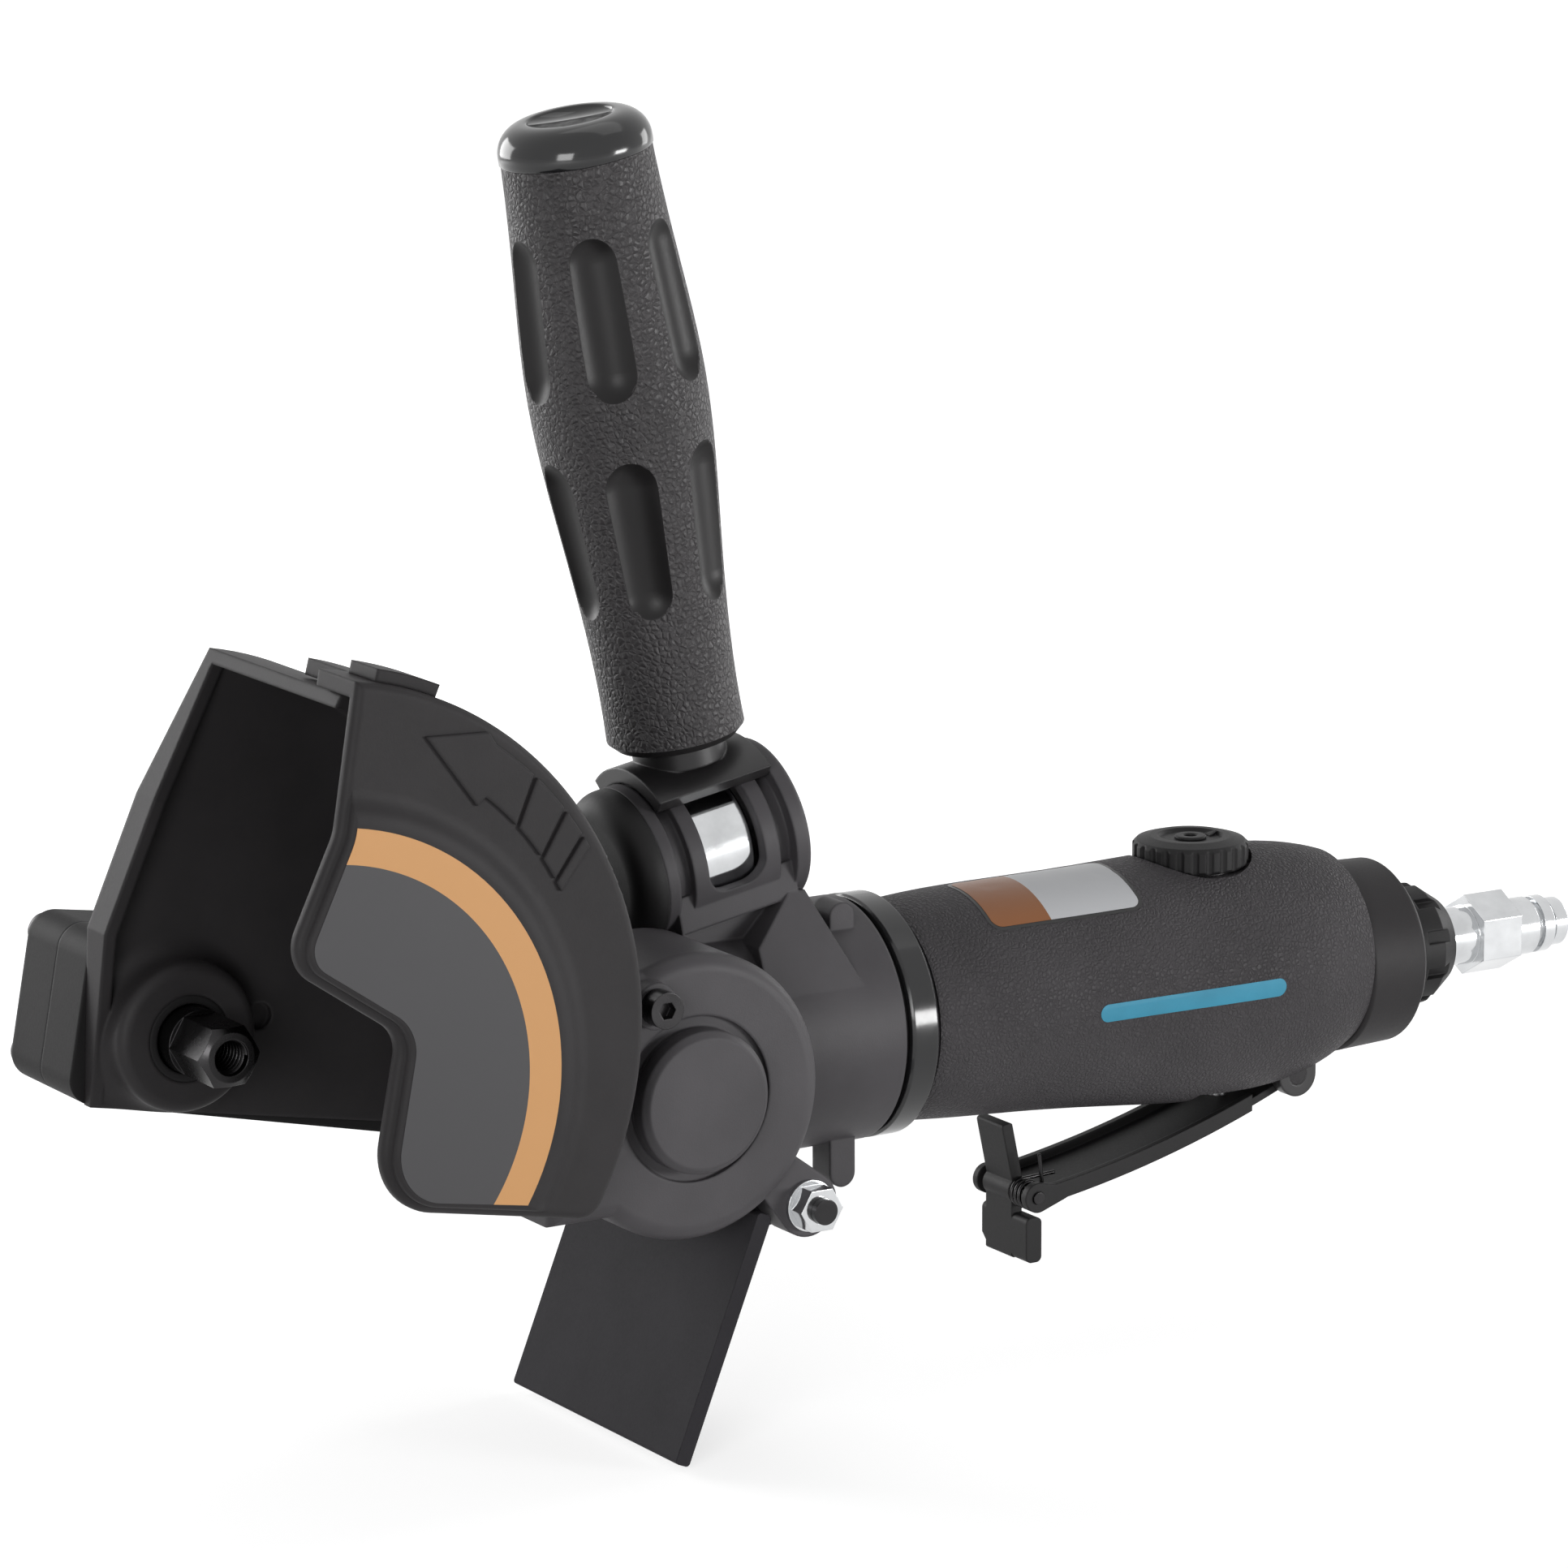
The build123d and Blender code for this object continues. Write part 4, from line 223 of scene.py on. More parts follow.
# Label film on the flat of the guard cover, with its coloured band between two radii about the spindle
BAND_INNER = 42.4 * MM
BAND_OUTER = 49.0 * MM
FILM_INSET = 0.7 * MM
FILM_LIFT = 0.08 * MM
FILM_THICKNESS = 0.9 * FILM_LIFT
FLAT_NORMAL = -0.999
FLAT_DEPTH = 0.01 * MM

# Turning-direction arrow on the guard cover, as radii and angles about the guard's centre
ARROW_LOW = 57.5 * MM
ARROW_HIGH = 66.4 * MM
ARROW_SLANT = 3.5
ARROW_HEIGHT = 0.7 * MM
ARROW_SINK = 0.1 * MM
ARROW_EDGE = 0.15 * MM
ARROW_TIP = (62.0 * MM, 77.5)
ARROW_BARBS = ((67.6 * MM, 67.3), (55.3 * MM, 61.9))
ARROW_SHAFT = (61.5, 53.0)
ARROW_DASHES = ((52.1, 45.0), (44.1, 39.6), (38.8, 36.8))

# Blank sticker and plain stripe on the grip, as stations along the motor axis and angles from the top
STICKER = (82.4 * MM, 116.8 * MM, -6.0, 40.5)
STICKER_SPLIT = 95.5 * MM
STICKER_CORNER = 2.2 * MM
STICKER_EDGE = 0.8 * MM
STICKER_LIFTS = (0.06 * MM, 0.12 * MM)
STRIPE = (102.0 * MM, 146.0 * MM, 88.0, 97.0)
STRIPE_CORNER = 2.0 * MM
STRIPE_LIFT = 0.08 * MM

# Seal ring round the hex adaptor, as radii about the spindle and depths along Y
SEAL_RADII = (6.65 * MM, 8.15 * MM)
SEAL_DEPTHS = (16.75 * MM, 19.4 * MM)

# Torsion spring of the safety catch, wound about the catch's pin, and return spring of the valve pin
WIRE_RADIUS = 0.4 * MM
CATCH_COIL_RADIUS = 2.6 * MM
CATCH_COIL_PITCH = 1.3 * MM
CATCH_COIL_START = 3.3 * MM
CATCH_COIL_ANGLES = (88.0, 1092.0)
CATCH_LEG = 8.0 * MM
VALVE_TURNS = 6.0

# Thread in the hex adaptor. Half the ridge's width and the free lead are shares of the pitch.
THREAD_PITCH = 1.25 * MM
THREAD_RADIUS = 3.39 * MM
THREAD_RISE = 0.42 * MM
THREAD_TURNS = 9.0
THREAD_FLANK = 0.45
THREAD_LEAD = 0.7

# Fineness of the meshes, and how far outside the part a ray starts
LATHE_SIDES = 72
ROLL_STEPS = 12
LIP_STEPS = 6
HUB_STEPS = 5
ARC_STEPS = 10
FILM_COLUMNS = 48
FILM_ROWS = 24
THREAD_STEPS = 40
CATCH_COIL_STEPS = 180
VALVE_COIL_STEPS = 240
WIRE_ROUNDNESS = 3
BEVEL_SEGMENTS = 2
JOIN_DISTANCE = 0.001 * MM
RAY_START = 100 * MM


# Shader building blocks
def new_material(name, color, roughness, metallic=0.0, specular=0.5):
    """Principled material with its colour, roughness, metallic and specular level set on the shader."""
    material = bpy.data.materials.new(name)
    material.use_nodes = True
    shader = material.node_tree.nodes["Principled BSDF"]
    shader.inputs["Base Color"].default_value = (*color, 1.0)
    shader.inputs["Roughness"].default_value = roughness
    shader.inputs["Metallic"].default_value = metallic
    shader.inputs["Specular IOR Level"].default_value = specular
    return material


def node(material, kind, **inputs):
    """Adds a shader node and sets its inputs by name."""
    made = material.node_tree.nodes.new(kind)
    for name, value in inputs.items():
        made.inputs[name.replace("_", " ")].default_value = value
    return made


def link(material, output, target):
    """Joins two sockets."""
    material.node_tree.links.new(output, target)


def place(material):
    """Object coordinates, which are metres in the part's own frame."""
    return node(material, "ShaderNodeTexCoord").outputs["Object"]


def noise(material, size, detail=3.0, rough=0.55):
    """Noise whose features are about a given size across."""
    made = node(material, "ShaderNodeTexNoise", Scale=1.0 / size, Detail=detail, Roughness=rough)
    link(material, place(material), made.inputs["Vector"])
    return made.outputs["Fac"]


def cells(material, size):
    """Distance to the edges of warped cells that are about a given size across."""
    made = node(material, "ShaderNodeTexVoronoi", Scale=1.0 / size)
    made.feature = "DISTANCE_TO_EDGE"
    warp = node(material, "ShaderNodeTexNoise", Scale=CELL_WARP_SIZE / size, Detail=2.0)
    link(material, place(material), warp.inputs["Vector"])
    shift = node(material, "ShaderNodeVectorMath")
    shift.operation = "MULTIPLY_ADD"
    shift.inputs[1].default_value = (size * CELL_WARP_REACH,) * 3
    link(material, warp.outputs["Color"], shift.inputs[0])
    link(material, place(material), shift.inputs[2])
    link(material, shift.outputs["Vector"], made.inputs["Vector"])
    return made.outputs["Distance"]


def ramp(material, value, low, high):
    """Stretches a value's low to high range to 0 to 1."""
    made = node(material, "ShaderNodeMapRange", From_Min=low, From_Max=high)
    link(material, value, made.inputs["Value"])
    return made.outputs["Result"]


def tint(material, value, dark, light):
    """Base colour that runs between two colours."""
    made = node(material, "ShaderNodeMix")
    made.data_type = "RGBA"
    made.inputs[MIX_FIRST].default_value = (*dark, 1.0)
    made.inputs[MIX_SECOND].default_value = (*light, 1.0)
    link(material, value, made.inputs["Factor"])
    shader = material.node_tree.nodes["Principled BSDF"]
    link(material, made.outputs[MIX_RESULT], shader.inputs["Base Color"])


def shaded(material, color, value, shades):
    """Base colour that runs from a darker to a lighter share of one colour."""
    dark, light = [tuple(min(1.0, c * share) for c in color) for share in shades]
    tint(material, ramp(material, value, *NOISE_RANGE), dark, light)


def gloss(material, value, roughness, changes):
    """Roughness that runs between two changes from a given one."""
    low, high = [max(LEAST_ROUGHNESS, roughness + change) for change in changes]
    made = node(material, "ShaderNodeMapRange", To_Min=low, To_Max=high)
    link(material, value, made.inputs["Value"])
    shader = material.node_tree.nodes["Principled BSDF"]
    link(material, made.outputs["Result"], shader.inputs["Roughness"])


def bump(material, *layers):
    """Stacks bump layers, each a value with its height in metres."""
    below = None
    for value, height in layers:
        made = node(material, "ShaderNodeBump", Strength=1.0, Distance=height)
        link(material, value, made.inputs["Height"])
        if below is not None:
            link(material, below.outputs["Normal"], made.inputs["Normal"])
        below = made
    shader = material.node_tree.nodes["Principled BSDF"]
    link(material, below.outputs["Normal"], shader.inputs["Normal"])


def round_edges(material, radius):
    """Rounded-edge normals under the material's lowest bump layer."""
    tree = material.node_tree
    edge = node(material, "ShaderNodeBevel", Radius=radius)
    edge.samples = EDGE_SAMPLES
    lowest = [n for n in tree.nodes if n.type == "BUMP" and not n.inputs["Normal"].is_linked]
    link(material, edge.outputs["Normal"], lowest[0].inputs["Normal"])


def math_node(material, operation, first, second):
    """One step of arithmetic between sockets or numbers."""
    made = node(material, "ShaderNodeMath")
    made.operation = operation
    for slot, value in zip(made.inputs, (first, second)):
        if isinstance(value, float):
            slot.default_value = value
        else:
            link(material, value, slot)
    return made.outputs[0]


# Finishes
def moulded(name, color, roughness, grain_size, grain_height, edge, specular):
    """Moulded plastic, rubber or coated casting with an even fine grain."""
    material = new_material(name, color, roughness, 0.0, specular)
    patch = noise(material, MOULDED_PATCH, detail=4.0)
    fine = noise(material, grain_size, detail=2.0, rough=0.7)
    shaded(material, color, patch, MOULDED_SHADES)
    gloss(material, fine, roughness, MOULDED_GLOSS)
    bump(material, (fine, grain_height))
    round_edges(material, edge)
    return material


def grained(name, color, roughness, grain_size, grain_height, pores, specular):
    """Leather-like grain: rounded cells with creases between them and fine pores on top."""
    material = new_material(name, color, roughness, 0.0, specular)
    domes = ramp(material, cells(material, grain_size), 0.0, CELL_EDGE)
    fine = noise(material, grain_size * PORE_SIZE, rough=0.65)
    patch = noise(material, GRAINED_PATCH)
    shaded(material, color, patch, GRAINED_SHADES)
    gloss(material, domes, roughness, GRAINED_GLOSS)
    bump(material, (domes, grain_height), (fine, grain_height * pores))
    return material


def metal(name, color, roughness, marks):
    """Bright or dark metal with faint machining marks and handling haze."""
    material = new_material(name, color, roughness, 1.0)
    haze = noise(material, METAL_PATCH, detail=4.0)
    fine = noise(material, MARK_SIZE, detail=2.0)
    shaded(material, color, haze, METAL_SHADES)
    gloss(material, haze, roughness, METAL_GLOSS)
    bump(material, (fine, marks))
    round_edges(material, METAL_EDGE)
    return material


def printed(name, ground, mark, roughness, amount):
    """Printed film: a ground colour, and a second colour where amount is 1, under a satin face."""
    material = new_material(name, ground, roughness, 0.0, PRINT_SPECULAR)
    tint(material, amount(material), ground, mark)
    fine = noise(material, PRINT_GRAIN, detail=2.0)
    gloss(material, fine, roughness, PRINT_GLOSS)
    bump(material, (fine, PRINT_HEIGHT))
    return material


def band_amount(material):
    """1 inside the ring between the two band radii about the spindle axis."""
    flat = node(material, "ShaderNodeVectorMath")
    flat.operation = "MULTIPLY"
    flat.inputs[1].default_value = (1, 0, 1)
    link(material, place(material), flat.inputs[0])
    radius = node(material, "ShaderNodeVectorMath")
    radius.operation = "LENGTH"
    link(material, flat.outputs["Vector"], radius.inputs[0])
    above = math_node(material, "GREATER_THAN", radius.outputs["Value"], BAND_INNER)
    below = math_node(material, "LESS_THAN", radius.outputs["Value"], BAND_OUTER)
    return math_node(material, "MULTIPLY", above, below)


def sticker_amount(material):
    """1 on the amber end of the sticker."""
    split = node(material, "ShaderNodeSeparateXYZ")
    link(material, place(material), split.inputs["Vector"])
    return math_node(material, "LESS_THAN", split.outputs["X"], MOTOR_AXIS.x + STICKER_SPLIT)


MATERIALS = {}
for make, looks in ((moulded, MOULDED), (grained, GRAINED), (metal, METALS)):
    for look_name, look in looks.items():
        MATERIALS[look_name] = make(look_name, *look)
MATERIALS["label_film"] = printed("label_film", *LABEL_PRINT, band_amount)
MATERIALS["sticker_face"] = printed("sticker_face", *STICKER_PRINT, sticker_amount)


def dress_nodes():
    """Gives each CAD node the material of its record slot, or its own finish."""
    for entry in frame["record"]["subparts"]:
        shown = frame["nodes"][entry["node"]]
        shown.data.materials.clear()
        finish = FINISHES.get(entry["node"], entry["material_slot"])
        shown.data.materials.append(MATERIALS[finish])


def smooth_dimples():
    """Gives the handle's finger dimples a smooth face in a darker colour, which is painted shade in the
    dimples; they are found as what lies inside its round profile.
    """
    mesh = frame["nodes"]["handle_grip"].data
    heights = [(v.co - HANDLE_ROOT).dot(HANDLE_AXIS) for v in mesh.vertices]
    radii = [(v.co - HANDLE_ROOT - HANDLE_AXIS * h).length for v, h in zip(mesh.vertices, heights)]
    steps = [round(height / PROFILE_STEP) for height in heights]
    profile = {}
    for step, radius in zip(steps, radii):
        profile[step] = max(profile.get(step, 0), radius)
    mesh.materials.append(MATERIALS["smooth_grip"])
    least, most = DIMPLE_DEPTHS
    for polygon in mesh.polygons:
        depth = max(profile[steps[i]] - radii[i] for i in polygon.vertices)
        if least < depth < most:
            polygon.material_index = 1


# Mesh building blocks
def mesh_from(name, verts, faces, smooth=True):
    """Mesh from corner points and faces."""
    mesh = bpy.data.meshes.new(name)
    mesh.from_pydata([tuple(v) for v in verts], [], faces)
    mesh.update()
    for polygon in mesh.polygons:
        polygon.use_smooth = smooth
    return mesh


def add_object(name, mesh, finish, body):
    """Puts a new mesh into the scene with its finish, riding on a body if one is named."""
    made = bpy.data.objects.new(name, mesh)
    bpy.context.collection.objects.link(made)
    mesh.materials.append(MATERIALS[finish])
    if body:
        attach(made, body)
    return made


def surface(node_name):
    """Ray-casting tree of a CAD node's surface."""
    mesh = frame["nodes"][node_name].data
    corners = [v.co for v in mesh.vertices]
    return BVHTree.FromPolygons(corners, [tuple(p.vertices) for p in mesh.polygons])


def bevelled(piece, width):
    """Small round on a piece's edges."""
    edge = piece.modifiers.new("edge", "BEVEL")
    edge.width = width
    edge.segments = BEVEL_SEGMENTS


def ring_of_sides(count):
    """Side faces between a foot and a top outline of count points each."""
    return [(i, (i + 1) % count, (i + 1) % count + count, i + count) for i in range(count)]


def quarter_turn(steps):
    """Cosine and sine pairs from 0 to 90 degrees."""
    turns = [math.pi / 2 * i / steps for i in range(steps + 1)]
    return [(math.cos(turn), math.sin(turn)) for turn in turns]


def lathe(name, base, axis, profile, smooth=True):
    """Mesh turned from a run of radii and heights about an axis, with its doubled points joined."""
    first = axis.orthogonal().normalized()
    second = first.cross(axis)
    rows = len(profile)
    verts = []
    faces = []
    for index in range(LATHE_SIDES):
        turn = 2 * math.pi * index / LATHE_SIDES
        out = first * math.cos(turn) + second * math.sin(turn)
        verts += [base + axis * height + out * radius for radius, height in profile]
        here = index * rows
        after = (index + 1) % LATHE_SIDES * rows
        faces += [(here + r, after + r, after + r + 1, here + r + 1) for r in range(rows - 1)]
    mesh = mesh_from(name, verts, faces, smooth)
    shape = bmesh.new()
    shape.from_mesh(mesh)
    bmesh.ops.remove_doubles(shape, verts=shape.verts, dist=JOIN_DISTANCE)
    bmesh.ops.recalc_face_normals(shape, faces=shape.faces)
    shape.to_mesh(mesh)
    shape.free()
    return mesh


def wire(name, points):
    """Round spring wire along a run of points, as a mesh."""
    curve = bpy.data.curves.new(name, "CURVE")
    curve.dimensions = "3D"
    curve.bevel_depth = WIRE_RADIUS
    curve.bevel_resolution = WIRE_ROUNDNESS
    curve.use_fill_caps = True
    line = curve.splines.new("POLY")
    line.points.add(len(points) - 1)
    for spot, point in zip(line.points, points):
        spot.co = (*point, 1.0)
    holder = bpy.data.objects.new(name, curve)
    mesh = bpy.data.meshes.new_from_object(holder)
    bpy.data.objects.remove(holder)
    return mesh


# Guard cover: label film and turning arrow
def guard_label():
    """Thin printed film on the flat of the guard cover's raised panel."""
    shape = bmesh.new()
    shape.from_mesh(frame["nodes"]["guard_cover"].data)
    bmesh.ops.remove_doubles(shape, verts=shape.verts, dist=JOIN_DISTANCE)
    front = min(v.co.y for v in shape.verts) + FLAT_DEPTH
    away = [f for f in shape.faces if f.normal.y > FLAT_NORMAL or f.calc_center_median().y > front]
    bmesh.ops.delete(shape, geom=away, context="FACES")
    rim = bmesh.ops.inset_region(shape, faces=shape.faces[:], thickness=FILM_INSET, use_even_offset=True)
    bmesh.ops.delete(shape, geom=rim["faces"], context="FACES")
    for vert in shape.verts:
        radius = math.hypot(vert.co.x, vert.co.z)
        inward = min(1.0, BAND_OUTER / radius)
        vert.co = Vector((vert.co.x * inward, vert.co.y - FILM_LIFT, vert.co.z * inward))
    mesh = bpy.data.meshes.new("guard_label")
    shape.to_mesh(mesh)
    shape.free()
    made = add_object("guard_label", mesh, "label_film", "guard_front")
    film = made.modifiers.new("film", "SOLIDIFY")
    film.thickness = FILM_THICKNESS
    film.offset = -1.0


def guard_point(radius, angle, y):
    """Point on the guard, by a radius and an angle about its centre, turned with the arm's tilt."""
    turn = math.radians(angle)
    along = Vector((math.cos(ARM_TILT), 0, -math.sin(ARM_TILT)))
    across = Vector((math.sin(ARM_TILT), 0, math.cos(ARM_TILT)))
    u = GUARD_CENTRE[0] + radius * math.cos(turn)
    v = GUARD_CENTRE[1] + radius * math.sin(turn)
    return along * u + across * v + Vector((0, y, 0))


def arc(radius, start, end):
    """Radius and angle pairs along an arc."""
    return [(radius, start + (end - start) * i / ARC_STEPS) for i in range(ARC_STEPS + 1)]


def raised_plate(name, outline):
    """Low plate on the guard cover with a small bevel, from a closed run of radii and angles."""
    count = len(outline)
    foot = [guard_point(r, a, COVER_FACE + ARROW_SINK) for r, a in outline]
    top = [guard_point(r, a, COVER_FACE - ARROW_HEIGHT) for r, a in outline]
    faces = ring_of_sides(count) + [tuple(range(count, 2 * count))]
    mesh = mesh_from(name, foot + top, faces, False)
    bevelled(add_object(name, mesh, "guard_plastic", "guard_front"), ARROW_EDGE)


def slanted_strip(start, end):
    """Outline of a strip between the arrow's two radii, with slanted ends."""
    low = arc(ARROW_LOW, start, end)
    high = arc(ARROW_HIGH, end + ARROW_SLANT, start + ARROW_SLANT)
    return low + high


def spin_arrow():
    """Arrow for the turning direction: a head with its shaft and three shorter dashes behind it."""
    outer_barb, inner_barb = ARROW_BARBS
    raised_plate("spin_arrow_head", [ARROW_TIP, inner_barb] + slanted_strip(*ARROW_SHAFT) + [outer_barb])
    for index, dash in enumerate(ARROW_DASHES):
        raised_plate(f"spin_arrow_dash_{index}", slanted_strip(*dash))


# Grip: blank sticker and plain stripe
def wrapped(name, tree, place_on, corner, grow, lift, finish):
    """Thin film with round corners wrapped on the grip, laid down along rays to the motor axis."""
    start, end, low, high = place_on
    half_length = (end - start) / 2 + grow
    half_height = math.radians(high - low) / 2 * GRIP_RADIUS + grow
    corner = min(corner + grow, half_height, half_length)
    verts = []
    for column in range(FILM_COLUMNS + 1):
        along = -half_length * math.cos(math.pi * column / FILM_COLUMNS)
        over = max(0.0, abs(along) - (half_length - corner))
        reach = half_height - corner + math.sqrt(max(0.0, corner ** 2 - over ** 2))
        spot = MOTOR_AXIS + Vector(((start + end) / 2 + along, 0, 0))
        for row in range(FILM_ROWS + 1):
            turn = math.radians((low + high) / 2) + (2 * row / FILM_ROWS - 1) * reach / GRIP_RADIUS
            out = Vector((0, -math.sin(turn), math.cos(turn)))
            hit, normal, _, _ = tree.ray_cast(spot + out * RAY_START, -out)
            verts.append(hit + normal * lift)
    step = FILM_ROWS + 1
    faces = [(c * step + r, (c + 1) * step + r, (c + 1) * step + r + 1, c * step + r + 1)
             for c in range(FILM_COLUMNS) for r in range(FILM_ROWS)]
    add_object(name, mesh_from(name, verts, faces), finish, "body")


def grip_films():
    """Blank two-colour sticker with a dark rim, and a plain stripe along the grip."""
    tree = surface("grip_sleeve")
    rim_lift, face_lift = STICKER_LIFTS
    wrapped("sticker_rim", tree, STICKER, STICKER_CORNER, STICKER_EDGE, rim_lift, "sticker_rim")
    wrapped("sticker_face", tree, STICKER, STICKER_CORNER, 0.0, face_lift, "sticker_face")
    wrapped("grip_stripe", tree, STRIPE, STRIPE_CORNER, 0.0, STRIPE_LIFT, "stripe_paint")


# Spindle: thread in the adaptor and the seal round it
def adaptor_thread():
    """Ridge of the internal thread: three-cornered sections along a helix in the adaptor's bore."""
    total = int(THREAD_TURNS * THREAD_STEPS)
    flank = THREAD_FLANK * THREAD_PITCH
    section = [(THREAD_RADIUS, -flank), (THREAD_RADIUS - THREAD_RISE, 0.0), (THREAD_RADIUS, flank)]
    verts = []
    for index in range(total + 1):
        turn = 2 * math.pi * index / THREAD_STEPS
        depth = THREAD_PITCH * (index / THREAD_STEPS + THREAD_LEAD)
        for radius, shift in section:
            verts.append(Vector((radius * math.cos(turn), depth + shift, radius * math.sin(turn))))
    count = len(section)
    faces = []
    for index in range(total):
        here = index * count
        after = here + count
        for side in range(count):
            other = (side + 1) % count
            faces.append((here + side, here + other, after + other, after + side))
    last = count * total
    faces += [(0, 1, 2), (last, last + 2, last + 1)]
    mesh = mesh_from("adaptor_thread", verts, faces, False)
    add_object("adaptor_thread", mesh, "black_oxide", "spindle_set")


def seal_ring():
    """Plain ring that closes the recess round the hex adaptor."""
    inner, outer = SEAL_RADII
    front, back = SEAL_DEPTHS
    profile = [(inner, front), (outer, front), (outer, back), (inner, back), (inner, front)]
    ring = lathe("seal_ring", Vector((0, 0, 0)), Vector((0, 1, 0)), profile, False)
    add_object("seal_ring", ring, "arm_plastic", "body")


# Side handle and regulator knob
def end_cap():
    """Glossy cap of the side handle with a rolled edge and a shallow dish, in place of its plain solid."""
    top = CAP_SIDE + CAP_ROLL
    flat = CAP_RADIUS - CAP_ROLL
    profile = [(0, 0), (CAP_RADIUS - CAP_CHAMFER, 0), (CAP_RADIUS, CAP_CHAMFER)]
    profile += [(flat + CAP_ROLL * c, CAP_SIDE + CAP_ROLL * s) for c, s in quarter_turn(ROLL_STEPS)]
    profile += [(DISH_RADIUS - DISH_LIP * s, top - DISH_LIP * (1 - c)) for c, s in quarter_turn(LIP_STEPS)]
    profile += [(0, top - DISH_LIP)]
    mesh = lathe("end_cap", HANDLE_ROOT + HANDLE_AXIS * CAP_BASE, HANDLE_AXIS, profile)
    cap = add_object("end_cap", mesh, "gloss_black", "side_handle")
    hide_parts("handle_end_cap")


def knob_hub():
    """Raised ring round the socket in the middle of the regulator knob, and a pointer beside it."""
    tree = surface("regulator_knob")
    seat, _, _, _ = tree.ray_cast(KNOB_AXIS + UP * RAY_START, -UP)
    inner, outer = HUB_RADII
    edge = HUB_RISE / 2
    profile = [(inner, -edge)]
    profile += [(inner + edge - edge * c, HUB_RISE - edge + edge * s) for c, s in quarter_turn(HUB_STEPS)]
    profile += [(outer - edge + edge * s, HUB_RISE - edge + edge * c) for c, s in quarter_turn(HUB_STEPS)]
    profile += [(outer, -edge), (inner, -edge)]
    add_object("knob_hub", lathe("knob_hub", seat, UP, profile), "control_plastic", "regulator")
    corners = [Vector((POINTER_NEAR, -POINTER_HALF_WIDTH, 0)), Vector((POINTER_FAR, 0, 0)),
               Vector((POINTER_NEAR, POINTER_HALF_WIDTH, 0))]
    foot = [tree.ray_cast(KNOB_AXIS + corner + UP * RAY_START, -UP)[0] - UP * edge for corner in corners]
    top = [spot + UP * HUB_RISE for spot in foot]
    mesh = mesh_from("knob_pointer", foot + top, ring_of_sides(3) + [(3, 4, 5), (2, 1, 0)], False)
    bevelled(add_object("knob_pointer", mesh, "control_plastic", "regulator"), POINTER_EDGE)


# Springs of the safety catch and the valve pin
def catch_torsion_spring():
    """Torsion spring coiled about the catch's pin, with one leg under the lever and the other beside the
    catch.
    """
    low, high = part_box("catch_pin")
    pin = (low + high) / 2
    first, last = CATCH_COIL_ANGLES
    points = []
    for index in range(CATCH_COIL_STEPS + 1):
        angle = first + (last - first) * index / CATCH_COIL_STEPS
        turn = math.radians(angle)
        depth = CATCH_COIL_START + CATCH_COIL_PITCH * angle / 360
        points.append(Vector((pin.x + CATCH_COIL_RADIUS * math.cos(turn), pin.y - depth,
                              pin.z + CATCH_COIL_RADIUS * math.sin(turn))))
    under = points[0] + (points[0] - points[1]).normalized() * CATCH_LEG
    beside = points[-1] + (points[-1] - points[-2]).normalized() * CATCH_LEG
    mesh = wire("catch_torsion_spring", [under] + points + [beside])
    spring = add_object("catch_torsion_spring", mesh, "black_oxide", None)
    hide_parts("catch_spring")
    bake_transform(spring)


def valve_coil_spring():
    """Return spring of the valve pin, coiled in place of its plain part."""
    low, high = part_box("valve_spring")
    middle = (low + high) / 2
    length = high.z - low.z
    radius = (high.x - low.x) / 2 - WIRE_RADIUS
    rise = length - 2 * WIRE_RADIUS
    points = []
    for index in range(VALVE_COIL_STEPS + 1):
        turn = 2 * math.pi * VALVE_TURNS * index / VALVE_COIL_STEPS
        points.append(Vector((middle.x + radius * math.cos(turn), middle.y + radius * math.sin(turn),
                              low.z + WIRE_RADIUS + rise * index / VALVE_COIL_STEPS)))
    spring = add_object("valve_coil_spring", wire("valve_coil_spring", points), "steel", "body")
    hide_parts("valve_spring")
    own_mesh(spring)


# Studio: pale floor, white surroundings and soft lamps
def seen_directly(tree):
    """1 for camera, glossy and transmitted rays, which see the white background."""
    path = tree.nodes.new("ShaderNodeLightPath")
    value = path.outputs["Is Camera Ray"]
    for name in ("Is Glossy Ray", "Is Transmission Ray"):
        larger = tree.nodes.new("ShaderNodeMath")
        larger.operation = "MAXIMUM"
        tree.links.new(value, larger.inputs[0])
        tree.links.new(path.outputs[name], larger.inputs[1])
        value = larger.outputs[0]
    return value


def between(tree, value, low, high):
    """Runs from low to high as a value runs from 0 to 1."""
    made = tree.nodes.new("ShaderNodeMapRange")
    made.inputs["To Min"].default_value = low
    made.inputs["To Max"].default_value = high
    tree.links.new(value, made.inputs["Value"])
    return made.outputs["Result"]


def floor_glow(material):
    """Glow that rises with the distance from the part, as the lamps' light falls off."""
    away = node(material, "ShaderNodeVectorMath")
    away.operation = "DISTANCE"
    away.inputs[1].default_value = (cad_box[0] + cad_box[1]) / 2
    link(material, place(material), away.inputs[0])
    share = ramp(material, away.outputs["Value"], *FLOOR_GLOW_REACH)
    return between(material.node_tree, share, *FLOOR_GLOW)


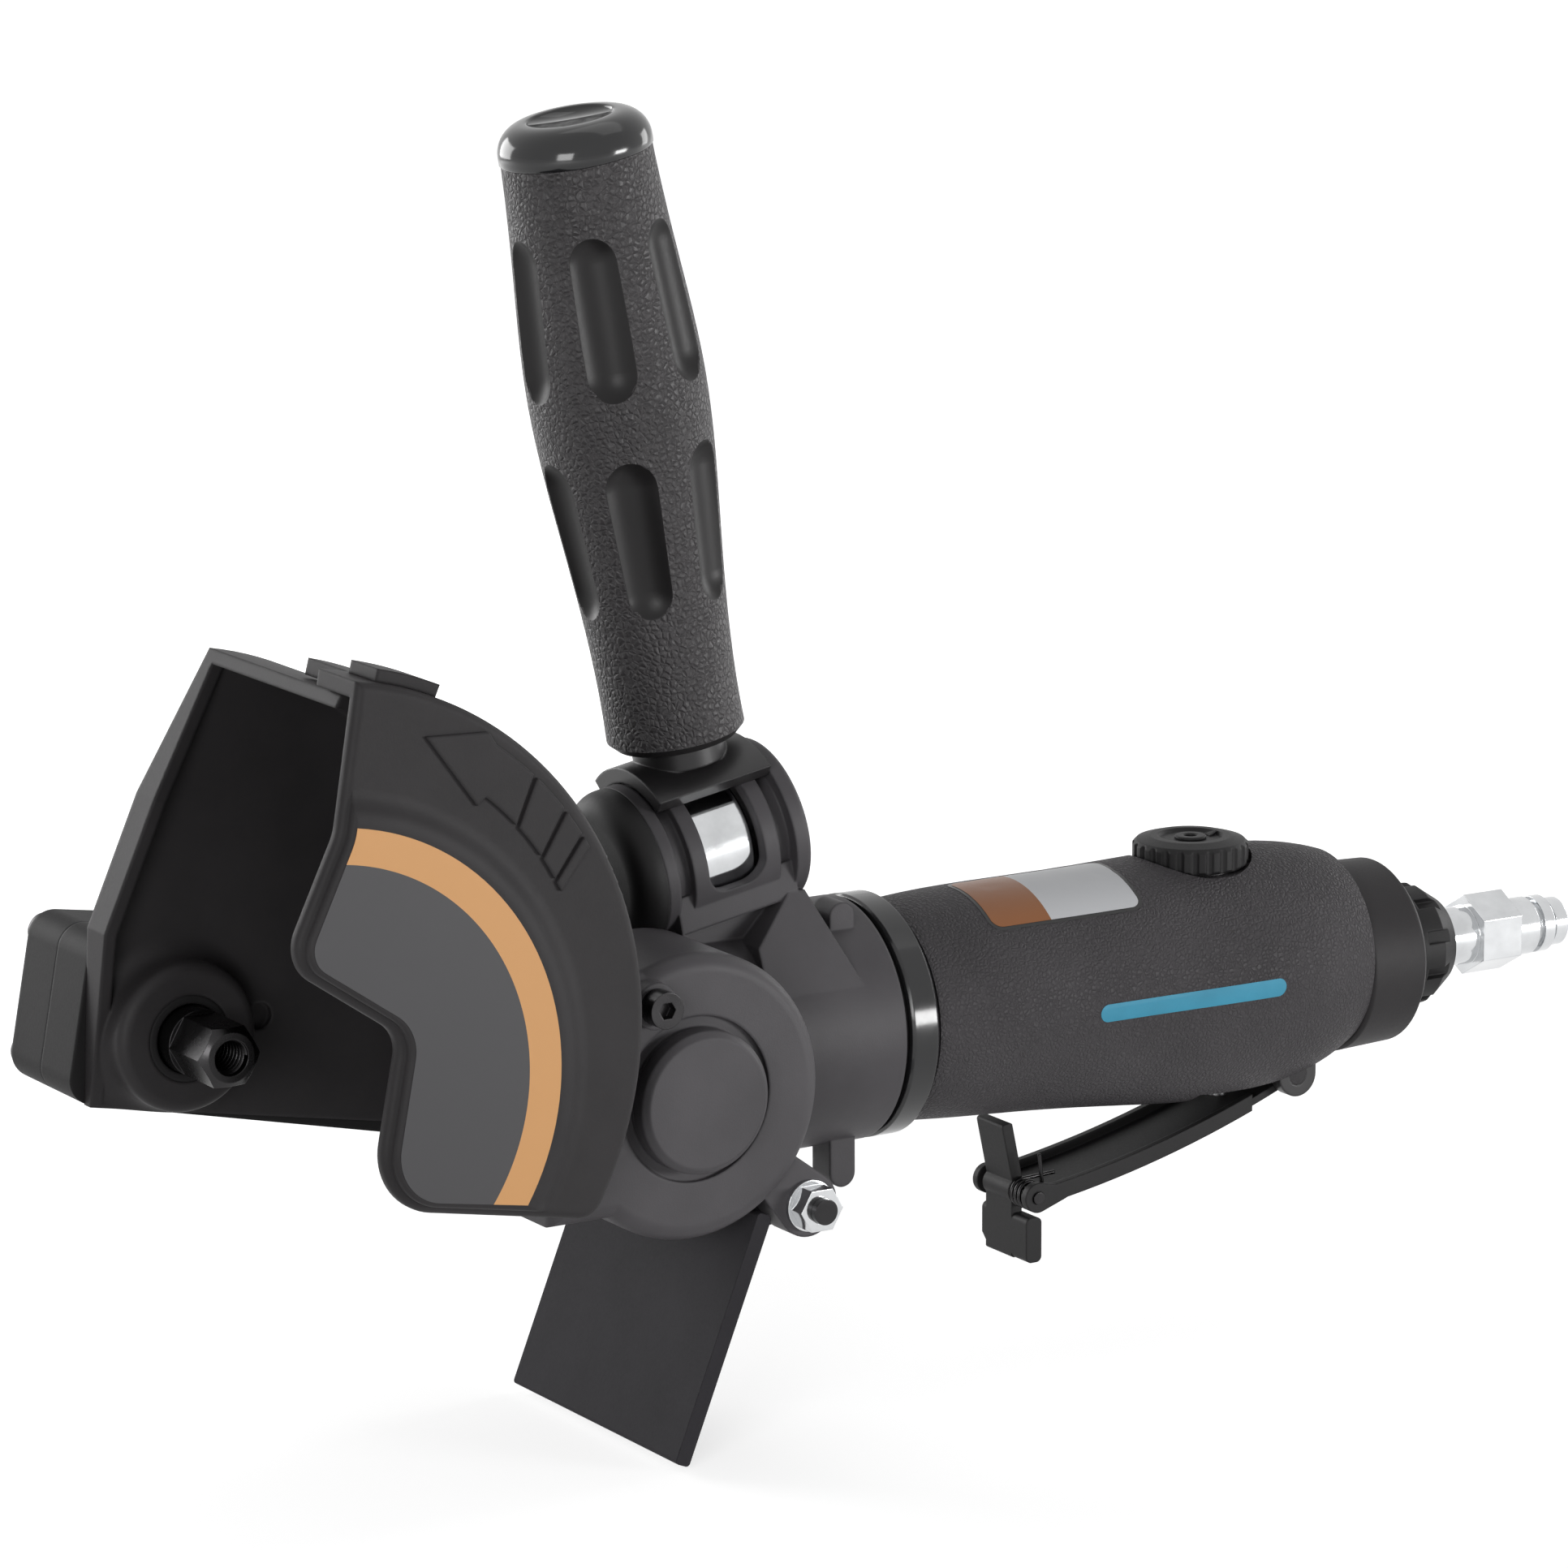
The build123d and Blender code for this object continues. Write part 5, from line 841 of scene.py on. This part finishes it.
def pale_floor():
    """Floor just under the part, pale enough to read as white and still take the shadow."""
    low = cad_box[0].z - FLOOR_GAP
    corners = [(x * FLOOR_REACH, y * FLOOR_REACH, low) for x, y in ((-1, -1), (1, -1), (1, 1), (-1, 1))]
    mesh = mesh_from("floor", corners, [(0, 1, 2, 3)])
    floor = bpy.data.objects.new("floor", mesh)
    bpy.context.collection.objects.link(floor)
    dark, light = [(tone, tone, tone) for tone in FLOOR_TONES]
    pale = new_material("pale_floor", light, FLOOR_ROUGHNESS)
    tint(pale, noise(pale, FLOOR_PATCH), dark, light)
    shader = pale.node_tree.nodes["Principled BSDF"]
    shader.inputs["Emission Color"].default_value = (1, 1, 1, 1)
    glow = math_node(pale, "MULTIPLY", seen_directly(pale.node_tree), floor_glow(pale))
    link(pale, glow, shader.inputs["Emission Strength"])
    mesh.materials.append(pale)


def white_world():
    """World that is white to the camera and a soft fill to the part."""
    world = bpy.data.worlds.new("studio")
    bpy.context.scene.world = world
    world.use_nodes = True
    tree = world.node_tree
    background = tree.nodes["Background"]
    background.inputs["Color"].default_value = (1, 1, 1, 1)
    level = between(tree, seen_directly(tree), WORLD_FILL, 1.0)
    tree.links.new(level, background.inputs["Strength"])


def lamps():
    """Soft boxes round the part, each aimed at its middle."""
    centre = (cad_box[0] + cad_box[1]) / 2
    for name, (offset, width, height, watts) in LAMPS.items():
        lamp = bpy.data.lights.new(name, "AREA")
        lamp.shape = "RECTANGLE"
        lamp.size = width
        lamp.size_y = height
        lamp.energy = watts
        made = bpy.data.objects.new(name, lamp)
        bpy.context.collection.objects.link(made)
        made.location = centre + Vector(offset)
        made.rotation_euler = (-Vector(offset)).to_track_quat("-Z", "Y").to_euler()


def camera():
    """Camera at the photograph's place."""
    data = bpy.data.cameras.new("camera")
    data.sensor_width = SENSOR_WIDTH
    data.lens = CAMERA_LENS
    data.shift_x = -AXIS_RIGHT_OF_CENTRE / FRAME_PIXELS
    data.shift_y = AXIS_BELOW_CENTRE / FRAME_PIXELS
    data.clip_start, data.clip_end = CAMERA_CLIP
    made = bpy.data.objects.new("camera", data)
    bpy.context.collection.objects.link(made)
    level_reach = math.cos(CAMERA_ELEVATION)
    back = Vector((math.sin(CAMERA_AZIMUTH) * level_reach, -math.cos(CAMERA_AZIMUTH) * level_reach,
                   math.sin(CAMERA_ELEVATION)))
    made.location = CAMERA_AIM + back * CAMERA_DISTANCE
    level = (-back).to_track_quat("-Z", "Y")
    made.rotation_euler = (level @ Quaternion((0, 0, 1), CAMERA_ROLL)).to_euler()
    bpy.context.scene.camera = made


dress_nodes()
smooth_dimples()
guard_label()
spin_arrow()
grip_films()
adaptor_thread()
end_cap()
knob_hub()
seal_ring()
catch_torsion_spring()
valve_coil_spring()
pale_floor()
white_world()
lamps()
camera()
bpy.context.scene.view_settings.view_transform = "Standard"
